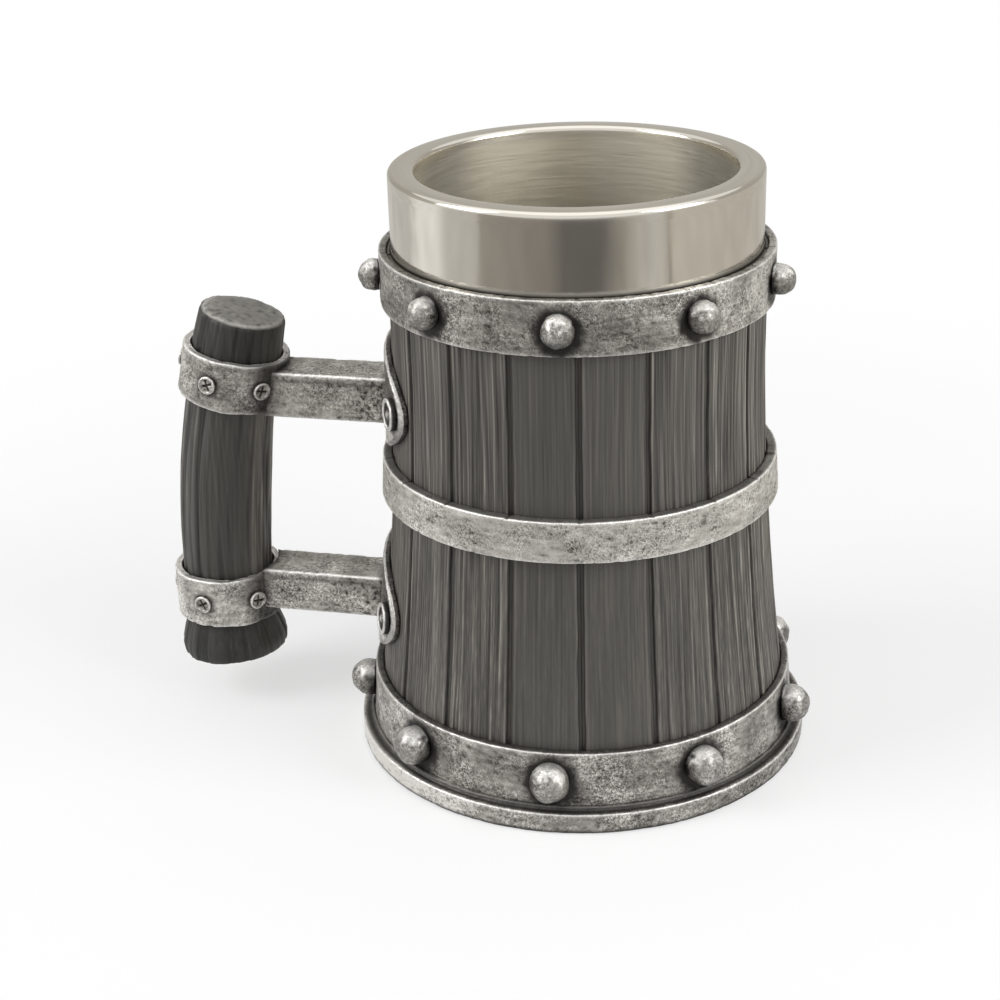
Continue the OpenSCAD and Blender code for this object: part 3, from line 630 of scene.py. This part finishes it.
middle_hoop_t = 2.6 * mm
middle_low, middle_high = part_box("middle_hoop")
rows = [middle_low.z + (middle_high.z - middle_low.z) * k / 4 for k in (1, 2, 3)]
bm = band_outline(middle_low.z, middle_high.z, middle_hoop_t, rows)
edges = [(wood_r(z) + hoop_gap + middle_hoop_t, z) for z in (middle_low.z, middle_high.z)]
mark_edges(bm, edges, 0.45 * mm)
ledge_shade(bm, middle_high.z, edges[1][0])
revolve(bm, hoop_steps)
weather(bm, 0.14 * mm, 7.7, 2.6)
notch(bm, middle_high.z, 0.35 * mm, 0.5 * mm)
add_piece("middle_band", bm, bright_finish, "aged_metal", "middle_hoop")

base_hoop_t = 2.1 * mm
base_stud_r = 5 * mm
base_stud_lift = 7.3 * mm
base_stud_turn = -87
base_low, base_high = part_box("base_hoop")
base_seats = stud_seats(base_stud_turn, foot_z + base_stud_lift, base_hoop_t)
bm = band_outline(base_low.z, base_high.z, base_hoop_t)
face_r = wood_r(base_high.z) + hoop_gap + base_hoop_t
mark_edges(bm, [(face_r, base_high.z)], 0.4 * mm)
ledge_shade(bm, base_high.z, face_r)
revolve(bm, hoop_steps)
weather(bm, 0.16 * mm, 12.4, 1.8)
# Painted light on both sides of the base hoop.
paint_lit_side(bm, -20, 0.25)
paint_lit_side(bm, -145, 0.25)
paint_stud_shadows(bm, [place for place, out in base_seats], base_stud_r, 3.4 * mm)
add_piece("base_band", bm, hoop_finish, "aged_metal", "base_hoop")


# Studs: nine cast domes on each of the outer hoops, riveted through them. Hammering has left flats on
# them and their crowns are rubbed a little bright; their upper sides carry a painted highlight and their
# feet a painted shade.
stud_finish = aged_metal("rubbed cast iron studs", "#24221f", "#5b5955", "#88857f", "#c4c1bb", 0.40)
dome_columns = 40
dome_rows = 26


def studs(name, seats, radius, out, node):
    """Makes the domes of one hoop, cut flat where they sit on it."""
    bm = bmesh.new()
    relief = paint_layer(bm, "relief")
    edge = paint_layer(bm, "edge")
    shade_and_grime = paint_layer(bm, "shade_and_grime")
    for k, (place, outward) in enumerate(seats):
        seed = Vector((k * 9.1, radius / mm, 0))
        made = bmesh.ops.create_uvsphere(bm, u_segments=dome_columns, v_segments=dome_rows,
            radius=radius, matrix=Matrix.Translation((0, 0, out)))["verts"]
        parts = {g for v in made for g in (v, *v.link_edges, *v.link_faces)}
        cut = bmesh.ops.bisect_plane(bm, geom=list(parts), plane_co=(0, 0, 0), plane_no=(0, 0, 1),
            clear_inner=True)["geom_cut"]
        rim = [g for g in cut if isinstance(g, bmesh.types.BMEdge)]
        bmesh.ops.edgeloop_fill(bm, edges=rim)
        dome = {v for v in made if v.is_valid} | {v for e in rim for v in e.verts}
        for v in dome:
            flat = noise.noise(v.co / mm * 0.32 + seed)
            dent = noise.noise(v.co / mm * 0.75 + seed)
            scratch = max(0, noise.noise(v.co / mm * 1.5 + seed) - 0.2)
            away = v.co.z / (radius + out)
            # Painted highlight on the upper side of each dome, and painted shade round its foot, less on
            # top.
            upper = smoothstep(0.3, 0.85, v.co.y / radius + 0.4 * dent)
            v[relief] = 0.5 * flat + 0.5 * dent - 1.2 * scratch
            v[edge] = max(0.15 * smoothstep(0.45, 1.0, away), 0.75 * upper)
            v[shade_and_grime] = 0.95 * (1 - smoothstep(0.02, 0.36, away + 0.12 * dent)) * (1 - 0.7 * upper)
            if v.co.z > 0.05 * mm:
                v.co -= v.co.normalized() * 0.3 * mm * (0.75 - flat - 0.5 * dent + scratch)
        turn = outward.to_track_quat("Z", "Y").to_matrix().to_4x4()
        bmesh.ops.transform(bm, verts=list(dome), matrix=Matrix.Translation(place) @ turn)
    add_piece(name, bm, stud_finish, "stud_metal", node)


studs("top_domes", top_seats, top_stud_r, 1.3 * mm, "top_hoop_studs")
studs("base_domes", base_seats, base_stud_r, 1.6 * mm, "base_hoop_studs")


# Base plate: a cast foot with a flange, a small bead against the base hoop, and a rim that stands up
# inside the stave feet. Painted shade and grime fill the corner between the bead and the flange, and
# painted shade darkens the flange's bottom edge.
plate_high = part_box("base_plate")[1]
flange_r = plate_high.x
flange_t = foot_z
bead_r = wood_r(foot_z) + hoop_gap + base_hoop_t + 0.1 * mm
bead_h = 0.8 * mm
rim_r = foot_in_r - 0.3 * mm
spigot_w = 2.5 * mm
base_floor_t = 2.2 * mm
bm = outline([
    (0, 0, 0), (rim_r, 0, 0), (flange_r, 0, 0.8 * mm), (flange_r, flange_t, 0.5 * mm),
    (bead_r + 0.9 * mm, flange_t, 0), (bead_r + 0.8 * mm, flange_t + bead_h, 0.3 * mm),
    (bead_r, flange_t + bead_h, 0), (bead_r, flange_t, 0),
    (rim_r, flange_t, 0), (rim_r, plate_high.z, 0), (rim_r - spigot_w, plate_high.z, 0),
    (rim_r - spigot_w, base_floor_t, 0), (0, base_floor_t, 0)], 0.6 * mm, rim_r + 0.1 * mm)
mark_edges(bm, [(flange_r, flange_t), (bead_r + 0.8 * mm, flange_t + bead_h)], 0.45 * mm)
shade_and_grime = paint_layer(bm, "shade_and_grime")
for v in bm.verts:
    # Painted shade and grime in the corner by the bead.
    if v.co.x > bead_r and v.co.z > flange_t - 0.3 * mm:
        v[shade_and_grime] = 0.95 * (1 - smoothstep(0.3 * mm, 1.7 * mm, abs(v.co.x - bead_r - 1.3 * mm)))
    # Painted shade along the flange's bottom edge.
    if v.co.x > flange_r - 2 * mm:
        v[shade_and_grime] = max(v[shade_and_grime], 1 - smoothstep(0.4 * mm, 1.5 * mm, v.co.z))
revolve(bm, hoop_steps)
weather(bm, 0.16 * mm, 21.9, 1.6)
# Painted light on the foot's left side.
paint_lit_side(bm, -145, 1.1)
add_piece("foot_plate", bm, hoop_finish, "aged_metal", "base_plate")


# Handle plates: two oval straps of cast iron bent to the barrel, one behind each arm. Each is held by
# two rivets with dished heads. Their rims are worn thin and bright and their lower ends are paler. Painted
# shade and grime darken the rest of the face and round the rivets, and painted shade the rim's lower half
# and the side walls.
plate_half_w = 29.5 * mm
plate_half_h = 13.9 * mm
strap_t = 1.9 * mm
rivet_arc = 26.2 * mm
rivet_head_r = 4.2 * mm
rivet_head_h = 1.5 * mm
dish_r = rivet_head_r - 1.2 * mm
rivet_dish = 0.7 * mm
dish_h = rivet_head_h - rivet_dish
rivet_boss_r = 1.6 * mm
rivet_steps = 48
plate_columns = 150
plate_rows = 72


def strap_depth(v):
    """How deep a plate's vertex lies under the plate's face."""
    return wood_r(v.co.z) + hoop_gap + strap_t - v.co.xy.length


def handle_plate(name, centre_z, node):
    """Bends an oval onto the barrel's handle side, thickens it and rounds its rim."""
    bm = bmesh.new()
    bmesh.ops.create_grid(bm, x_segments=plate_columns, y_segments=plate_rows, size=1)
    for v in bm.verts:
        y = plate_half_w * v.co.x * math.sqrt(1 - v.co.y ** 2 / 2)
        z = centre_z + plate_half_h * v.co.y * math.sqrt(1 - v.co.x ** 2 / 2)
        r = wood_r(z) + hoop_gap
        v.co = (-math.sqrt(r * r - y * y), y, z)
    bmesh.ops.recalc_face_normals(bm, faces=bm.faces)
    if sum((f.normal for f in bm.faces), Vector()).x > 0:
        bmesh.ops.reverse_faces(bm, faces=bm.faces)
    bmesh.ops.solidify(bm, geom=bm.faces[:], thickness=-strap_t)
    sides = [e for e in bm.edges if abs(strap_depth(e.verts[0]) - strap_depth(e.verts[1])) > strap_t / 2]
    bmesh.ops.subdivide_edges(bm, edges=sides, cuts=3, use_grid_fill=True)
    relief = paint_layer(bm, "relief")
    edge = paint_layer(bm, "edge")
    shade_and_grime = paint_layer(bm, "shade_and_grime")
    bm.normal_update()
    seats = [rivet_seat(centre_z, side).translation for side in (-1, 1)]
    for v in bm.verts:
        y = v.co.y / plate_half_w
        z = (v.co.z - centre_z) / plate_half_h
        share = max(0.01, math.hypot(y, z))
        inset = (1 - share) * share / math.hypot(y / plate_half_w, z / plate_half_h, 0.01)
        depth = max(0, strap_depth(v))
        round_off = (1 - smoothstep(-0.1 * mm, 0.6 * mm, inset)) * max(0, 1 - depth / strap_t)
        v.co.xy *= 1 - 0.5 * mm * round_off / v.co.xy.length
        near = min((v.co - seat).length for seat in seats) - rivet_head_r
        low_part = 1 - smoothstep(-0.35, 0.1, z)
        worn = 0.65 - 0.4 * low_part
        v[edge] = worn * (1 - smoothstep(0.1 * mm, 0.4 * mm, max(inset - 0.2 * mm, depth)))
        # Painted shade and grime over the face above its lower end and round the rivets.
        v[shade_and_grime] = max(0.45 * (1 - low_part), 0.7 * (1 - smoothstep(0.5 * mm, 1.8 * mm, near)))
        rim_part = 1 - smoothstep(0.4 * mm, 1 * mm, inset)
        # The rim's lower half gets painted shade, which tones down its highlight.
        v[shade_and_grime] += rim_part * (0.5 * low_part - v[shade_and_grime])
        v[relief] += 0.9 * low_part * (1 - depth / strap_t)
        # Painted shade on the side walls, deeper down.
        if depth > strap_t / 5:
            v[shade_and_grime] = 0.35 + 0.5 * depth / strap_t
    weather(bm, 0.14 * mm, centre_z / mm, 1.2)
    add_piece(name, bm, hoop_finish, "aged_metal", node)


def rivet_seat(centre_z, side):
    """Where a plate's rivet stands, with its Z axis out of the plate."""
    r = wood_r(centre_z) + hoop_gap + strap_t
    slope = math.atan((wood_r(centre_z - mm) - wood_r(centre_z + mm)) / (2 * mm))
    a = math.pi + side * rivet_arc / r
    place = Matrix.Translation((r * math.cos(a), r * math.sin(a), centre_z))
    return place @ Matrix.Rotation(a, 4, "Z") @ Matrix.Rotation(math.pi / 2 - slope, 4, "Y")


def join(bm, head):
    """Moves a second mesh into a piece's mesh."""
    part = bpy.data.meshes.new("part")
    head.to_mesh(part)
    head.free()
    bm.from_mesh(part)
    bpy.data.meshes.remove(part)


def rivets(name, centre_z, node):
    """Two dished heads, each turned as a ring round a small dome."""
    bm = bmesh.new()
    for side in (-1, 1):
        head = outline([
            (0, 0, 0), (rivet_head_r, 0, 0), (rivet_head_r, rivet_head_h, 0.5 * mm),
            (dish_r, rivet_head_h, 0.4 * mm), (dish_r, dish_h, 0.1 * mm), (rivet_boss_r, dish_h, 0.1 * mm),
            (rivet_boss_r - rivet_dish, rivet_head_h, 0.5 * mm), (0, rivet_head_h, 0)], 0.3 * mm)
        mark_edges(head, [(x, rivet_head_h) for x in (rivet_head_r, dish_r, 0)], 0.7 * mm)
        shade_and_grime = paint_layer(head, "shade_and_grime")
        # Painted shade and grime in the dish of each head.
        for v in head.verts:
            v[shade_and_grime] = 0.9 * (1 - smoothstep(dish_h, rivet_head_h - 0.2 * mm, v.co.z))
        revolve(head, rivet_steps)
        weather(head, 0.10 * mm, centre_z / mm + side, 1.0, 0.2 * mm)
        bmesh.ops.transform(head, verts=head.verts, matrix=rivet_seat(centre_z, side))
        join(bm, head)
    add_piece(name, bm, stud_finish, "stud_metal", node)


upper_low, upper_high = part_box("upper_plate")
lower_low, lower_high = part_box("lower_plate")
upper_plate_z = (upper_low.z + upper_high.z) / 2
lower_plate_z = (lower_low.z + lower_high.z) / 2
handle_plate("upper_oval", upper_plate_z, "upper_plate")
handle_plate("lower_oval", lower_plate_z, "lower_plate")
rivets("upper_rivet_heads", upper_plate_z, "upper_plate_rivets")
rivets("lower_rivet_heads", lower_plate_z, "lower_plate_rivets")


# Strap clamps: two rings of forged strip that grip the log, each with five cross-head screws. They
# lean with the log's bow, and their edges are a little uneven from the hammer. Painted shade and grime
# lie round the screws, painted shadow beside the arms, and the side away from the barrel is painted
# lighter.
log_reach = 97.5 * mm
log_bow_r = 307 * mm
log_bow_z = 30 * mm
clamp_h = 13.8 * mm
clamp_t = 2 * mm
upper_clamp_z = 93 * mm
lower_clamp_z = 31 * mm
upper_clamp_r = 13.9 * mm
lower_clamp_r = 14.3 * mm
screw_turn = 81
screw_arm_gap = 0.3 * mm
arm_w = 13.4 * mm
screw_head_r = 2.4 * mm
screw_head_h = 0.9 * mm
recess_w = 0.6 * mm
recess_l = 3.2 * mm
clamp_steps = 176
screw_steps = 64


def log_place(z):
    """The log's centre line at a height, with the Z axis along the log."""
    lean = math.asin((z - log_bow_z) / log_bow_r)
    x = -log_reach + log_bow_r * (1 - math.cos(lean))
    return Matrix.Translation((x, 0, z)) @ Matrix.Rotation(lean, 4, "Y")


def screw_angles(radius):
    """Turns of a clamp's screws from its front, in degrees: the last pair stands beside the arm."""
    last = math.pi - math.asin(arm_w / 2 / radius) - (screw_head_r + screw_arm_gap) / radius
    return 0, screw_turn, math.degrees(last), -math.degrees(last), -screw_turn


clamp_finish = aged_metal("forged iron strip", "#302e2b", "#787570", "#a7a49e", "#e2dfd9")


def clamp(name, z, radius, seed, wear, node):
    """Spins a strip into a ring round the log, hammers it and leaves it more or less rubbed."""
    high = clamp_h / 2
    inner_r = radius - clamp_t
    bm = outline([(inner_r, -high, 0.3 * mm), (radius, -high, 0.6 * mm), (radius, high, 0.6 * mm),
        (inner_r, high, 0.3 * mm)], 0.6 * mm)
    mark_edges(bm, [(radius, -high), (radius, high), (inner_r, high)], 0.6 * mm)
    relief = paint_layer(bm, "relief")
    shade_and_grime = paint_layer(bm, "shade_and_grime")
    revolve(bm, clamp_steps)
    screws = [math.pi - math.radians(s) for s in screw_angles(radius)]
    for v in bm.verts:
        a = math.atan2(v.co.y, v.co.x)
        around = Vector((math.cos(a), math.sin(a), seed))
        near = min(abs((a - s + math.pi) % (2 * math.pi) - math.pi) for s in screws)
        reach = math.hypot(near * radius, v.co.z)
        if v.co.xy.length > radius - clamp_t / 4:
            # Painted shade and grime round the screws.
            v[shade_and_grime] = 0.9 * (1 - smoothstep(screw_head_r - 0.1 * mm, screw_head_r + 1.6 * mm, reach))
            if v.co.x > 0:
                # Painted shadow beside the arm.
                beside = 1 - smoothstep(1.2 * mm, 5.5 * mm, abs(v.co.y) - arm_w / 2)
                v[shade_and_grime] = max(v[shade_and_grime], 0.8 * beside)
        v[relief] = wear
        uneven = 0.35 * mm * noise.noise(around * 2.2)
        v.co.z += uneven * math.copysign(1, v.co.z) - 0.15 * mm * v.co.z / high
    weather(bm, 0.22 * mm, seed, 1.0, 0.25 * mm)
    # Painted light on the side away from the barrel.
    paint_lit_side(bm, -165, 0.35)
    bmesh.ops.transform(bm, verts=bm.verts, matrix=log_place(z))
    add_piece(name, bm, clamp_finish, "aged_metal", node)


def clamp_screws(name, z, radius, node):
    """Five low round heads, each with a cross recess sunk into it."""
    bm = bmesh.new()
    for k, angle in enumerate(screw_angles(radius)):
        head = outline([
            (0, -0.3 * mm, 0), (screw_head_r, -0.3 * mm, 0), (screw_head_r, screw_head_h, 0.4 * mm),
            (screw_head_r * 0.72, screw_head_h, 0.2 * mm),
            (screw_head_r * 0.62, screw_head_h * 0.6, 0.1 * mm), (0, screw_head_h * 0.8, 0)], 0.2 * mm)
        mark_edges(head, [(screw_head_r, screw_head_h)], 0.4 * mm)
        relief = paint_layer(head, "relief")
        shade_and_grime = paint_layer(head, "shade_and_grime")
        revolve(head, screw_steps)
        cross = Matrix.Rotation(0.6 + k * 0.9, 3, "Z")
        for v in head.verts:
            p = cross @ v.co
            aside, along = sorted((abs(p.x), abs(p.y)))
            sink = 1 - smoothstep(recess_w * 0.3, recess_w * 0.6, aside)
            sink *= 1 - smoothstep(recess_l * 0.42, recess_l * 0.5, along)
            # Painted shade and grime in the cross recess and on the head's sides.
            if v.co.z > screw_head_h * 0.3:
                v[shade_and_grime] = 0.95 * sink
                v[relief] = 0.7
                v.co.z -= 0.4 * mm * sink
            else:
                v[shade_and_grime] = 0.8
        weather(head, 0.07 * mm, k * 2.3 + z / mm, 1.0, 0.1 * mm)
        turn = Matrix.Rotation(math.pi - math.radians(angle), 4, "Z")
        out = Matrix.Translation((radius - 0.1 * mm, 0, 0)) @ Matrix.Rotation(math.pi / 2, 4, "Y")
        seat = log_place(z) @ turn @ out
        bmesh.ops.transform(head, verts=head.verts, matrix=seat)
        join(bm, head)
    add_piece(name, bm, stud_finish, "stud_metal", node)


clamp("upper_strap", upper_clamp_z, upper_clamp_r, 31.3, 0, "upper_clamp")
clamp("lower_strap", lower_clamp_z, lower_clamp_r, 47.9, 0.3, "lower_clamp")
clamp_screws("upper_screw_heads", upper_clamp_z, upper_clamp_r, "upper_clamp_screws")
clamp_screws("lower_screw_heads", lower_clamp_z, lower_clamp_r, "lower_clamp_screws")


# Handle arms: two flat forged bars, tenoned through the plates and the clamps. Their upper edges are
# rubbed bright, and scale has left pits in their sides near the barrel. Painted shade and grime darken
# both ends, and a line of painted shade runs along each side under the top edge.
arm_finish = aged_metal("forged iron bar", "#35332f", "#86837d", "#b1aea8", "#ebe8e2")
arm_sink = 0.5 * mm
arm_cuts = (64, 22, 28)


def arm(name, node, clamp_z, clamp_r, seed):
    """Stretches a rounded bar from the clamp's outside to the plate's outside."""
    low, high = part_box(node)
    middle_z = (low.z + high.z) / 2
    height = high.z - low.z
    bm = bmesh.new()
    bmesh.ops.create_cube(bm, size=1)
    bmesh.ops.scale(bm, verts=bm.verts, vec=(1, arm_w, height))
    long_edges = [e for e in bm.edges if abs(e.verts[0].co.x - e.verts[1].co.x) > 0.5]
    bmesh.ops.bevel(bm, geom=long_edges, offset=0.7 * mm, offset_type="OFFSET", affect="EDGES", segments=3,
        profile=0.5, material=-1)
    for axis, cuts in enumerate(arm_cuts):
        span = max(v.co[axis] for v in bm.verts) * 2
        longest = [e for e in bm.edges if abs(e.verts[0].co[axis] - e.verts[1].co[axis]) > span * 0.5]
        bmesh.ops.subdivide_edges(bm, edges=longest, cuts=cuts, use_grid_fill=True)
    relief = paint_layer(bm, "relief")
    edge = paint_layer(bm, "edge")
    shade_and_grime = paint_layer(bm, "shade_and_grime")
    place = log_place(clamp_z)
    lean = place.to_3x3() @ Vector((0, 0, 1))
    for v in bm.verts:
        t = v.co.x + 0.5
        y = v.co.y
        z = v.co.z + middle_z
        corner = math.hypot(arm_w / 2 - abs(y), height / 2 - abs(v.co.z))
        v[edge] = (1 - smoothstep(0.3 * mm, 0.95 * mm, corner)) * (1.0 if v.co.z > 0 else 0.5)
        under = height / 2 - v.co.z - 2.1 * mm
        start = place.translation.x + lean.x / lean.z * (z - clamp_z)
        start += math.sqrt((clamp_r - arm_sink) ** 2 - y * y)
        stop = -math.sqrt((wood_r(z) + hoop_gap + strap_t - arm_sink) ** 2 - y * y)
        v.co = (start + (stop - start) * t, y, z)
        close = min(v.co.x - start, stop - v.co.x)
        # Painted shade and grime near both ends, where the bar meets the clamp and the plate.
        v[shade_and_grime] = 0.7 * (1 - smoothstep(0.4 * mm, 3 * mm, close + 1.2 * mm * noise.noise(v.co / mm * 0.4)))
        if abs(y) > arm_w / 2 - 0.3 * mm:
            # A painted shade line along the side, just under the top edge.
            v[shade_and_grime] = max(v[shade_and_grime], 0.55 * math.exp(-(under / (0.6 * mm)) ** 2))
            pits = max(0, noise.noise(v.co / mm * 0.9 + Vector((seed, 0, 0))) - 0.02)
            v[relief] = -2.4 * smoothstep(0.35, 0.95, t) * pits
    weather(bm, 0.16 * mm, seed, 1.0, 0.2 * mm)
    add_piece(name, bm, arm_finish, "aged_metal", node)


arm("upper_bar", "upper_arm", upper_clamp_z, upper_clamp_r, 61.7)
arm("lower_bar", "lower_arm", lower_clamp_z, lower_clamp_r, 73.2)


# Grip log: a short bowed branch, barked and stained nearly black, with gouges drawn down its sides, a
# spread foot and sawn ends with worn rims. Palms have worn one side smooth, it is darkest beyond the
# clamps, and its sides towards and away from the barrel are painted lighter as painted light.
log_low_z = 12 * mm
log_top_z = 109.5 * mm
gouge_depth = 0.38 * mm
fibre_depth = 0.14 * mm
log_columns = 176
log_rows = 110
end_rings = 9
# Heights up the log, and its radius there in millimetres
log_spans = (
    (log_low_z, 13.6), (log_low_z + mm, 14.2), (16 * mm, 14.5), (20.1 * mm, 13.3), (23.1 * mm, 12.1),
    (38.9 * mm, 12.1), (47.9 * mm, 12.3), (66.1 * mm, 12.3), (85.1 * mm, 11.7), (100.9 * mm, 11.7),
    (108.5 * mm, 11.2), (log_top_z, 10.8))


def log_radius(z):
    """Radius of the log at a height, in metres, on a straight line between the two nearest spans."""
    for (low, near), (high, far) in zip(log_spans, log_spans[1:]):
        if z <= high:
            return mm * (near + (far - near) * max(0, z - low) / (high - low))
    return mm * log_spans[-1][1]


# Stain lies dark in the gouges and thin on the ridges between them. Fibres are a millimetre wide, and the
# sawn ends show paler crumbs of end grain, a millimetre and a half wide.
log_wood, tree, where, relief_map, sawn_map, rim_map = new_finish(
    "black stained branch wood", "relief", "sawn", "rim")
fibre_map = add_node(tree, "ShaderNodeMapping", {"Vector": where,
    "Scale": (1.1 * per_mm, 1.1 * per_mm, 0.03 * per_mm)})
fibres = add_node(tree, "ShaderNodeTexNoise", {"Vector": fibre_map.outputs[0], "Scale": 1.0, "Detail": 4.0})
crumbs = add_node(tree, "ShaderNodeTexNoise", {"Vector": where, "Scale": 0.65 * per_mm, "Detail": 5.0})
level = 0.30
for part, weight in ((relief_map, 0.34), (fibres.outputs[0], 0.40)):
    level = add_node(tree, "ShaderNodeMath", {0: part, 1: weight, 2: level},
        operation="MULTIPLY_ADD").outputs[0]
bark = add_node(tree, "ShaderNodeValToRGB", {0: level}, stops=[
    (0.1, "#1a1917"), (1.0, "#8a867e"), (0.42, "#3d3c38"), (0.68, "#55534e")])
end_level = add_node(tree, "ShaderNodeMath", {0: relief_map, 1: 0.20, 2: crumbs.outputs[0]},
    operation="MULTIPLY_ADD")
end_grain = add_node(tree, "ShaderNodeValToRGB", {0: end_level.outputs[0]}, stops=[
    (0.25, "#4a4844"), (0.85, "#95928b"), (0.42, "#76746e")])
face = add_node(tree, "ShaderNodeMix", {0: sawn_map, 6: bark.outputs[0],
    7: end_grain.outputs[0]}, data_type="RGBA")
wear = add_node(tree, "ShaderNodeMath", {0: crumbs.outputs[0], 1: rim_map}, operation="MULTIPLY")
colour = add_node(tree, "ShaderNodeMix", {0: wear.outputs[0], 6: face.outputs[2], 7: srgb("#d5d2cb")},
    data_type="RGBA")
bump = add_node(tree, "ShaderNodeBump", {"Strength": 0.5, "Distance": 0.12 * mm,
    "Height": fibres.outputs[0]})
surface = add_node(tree, "ShaderNodeBsdfPrincipled", {"Base Color": colour.outputs[2], "Roughness": 0.5,
    "Specular IOR Level": 0.35, "Normal": bump.outputs[0]})
add_node(tree, "ShaderNodeOutputMaterial", {"Surface": surface.outputs[0]})

bm = bmesh.new()
bmesh.ops.create_cone(bm, cap_ends=True, segments=log_columns, radius1=1, radius2=1, depth=1)
ends = [f for f in bm.faces if len(f.verts) > 4]
for k in range(end_rings):
    bmesh.ops.inset_region(bm, faces=ends, thickness=1 / (end_rings + 1), use_even_offset=True)
uprights = [e for e in bm.edges if abs(e.verts[0].co.z - e.verts[1].co.z) > 0.5]
bmesh.ops.subdivide_edges(bm, edges=uprights, cuts=log_rows, use_grid_fill=True)
relief = paint_layer(bm, "relief")
sawn = paint_layer(bm, "sawn")
rim = paint_layer(bm, "rim")
for v in bm.verts:
    z = log_low_z + (v.co.z + 0.5) * (log_top_z - log_low_z)
    share = v.co.xy.length
    a = math.atan2(v.co.y, v.co.x)
    around = Vector((math.cos(a), math.sin(a), 0))
    wander = 0.25 * noise.noise(Vector((around.x, around.y, z / mm * 0.03)))
    wide = noise.noise(Vector((around.x * 5 + wander, around.y * 5, z / mm * 0.015)))
    narrow = noise.noise(Vector((around.x * 11 + wander, around.y * 11, z / mm * 0.02 + 7)))
    fibre = noise.noise(Vector((around.x * 24 + wander, around.y * 24, z / mm * 0.04 + 3)))
    gouge = smoothstep(0.14, 0.28, wide) + 0.5 * smoothstep(0.2, 0.34, narrow)
    from_end = min(z - log_low_z, log_top_z - z)
    near_end = 1 - smoothstep(0, 1.6 * mm, from_end)
    r = log_radius(z) - 0.1 * mm - 0.55 * mm * near_end ** 2
    r -= gouge_depth * min(1, gouge) * (1 - 0.6 * near_end) + fibre_depth * (0.5 - fibre)
    palm = smoothstep(0.35, 0.9, -math.sin(a)) * smoothstep(-0.5, 0.1, math.cos(a))
    v[relief] = (0.2 + 0.9 * fibre - 1.1 * min(1, gouge)) * (1 - 0.7 * palm) - 0.2 * palm
    # Painted light: the sides towards and away from the barrel are lighter.
    v[relief] += 0.9 * smoothstep(0.5, 0.98, around.x) + 0.4 * smoothstep(0.5, 0.95, -around.x)
    if z > upper_clamp_z or z < lower_clamp_z:
        v[relief] = 0.7 * v[relief] - 0.6
    v[rim] = smoothstep(0.5, 1, near_end)
    sunk = 0
    if abs(v.co.z) > 0.4999:
        crumb = noise.noise(Vector((v.co.x * 9, v.co.y * 9, v.co.z * 5)))
        v[sawn] = 1
        v[relief] = crumb
        v[rim] = smoothstep(0.88, 0.99, share)
        sunk = 0.08 * mm * (0.5 - crumb) + 0.35 * mm * smoothstep(0.86, 1, share)
    dip = 0.9 * mm * max(0, noise.noise(around * 1.3 + Vector((0, 0, v.co.z))) + 0.1)
    low_rim = smoothstep(0.6, 1, share) * smoothstep(0.97, 1, abs(v.co.z) * 2)
    z -= math.copysign(1, v.co.z) * (sunk + dip * low_rim)
    v.co = log_place(min(max(z, log_low_z), log_top_z)) @ (around * r * share)
add_piece("branch_grip", bm, log_wood, "log_wood", "grip_log")
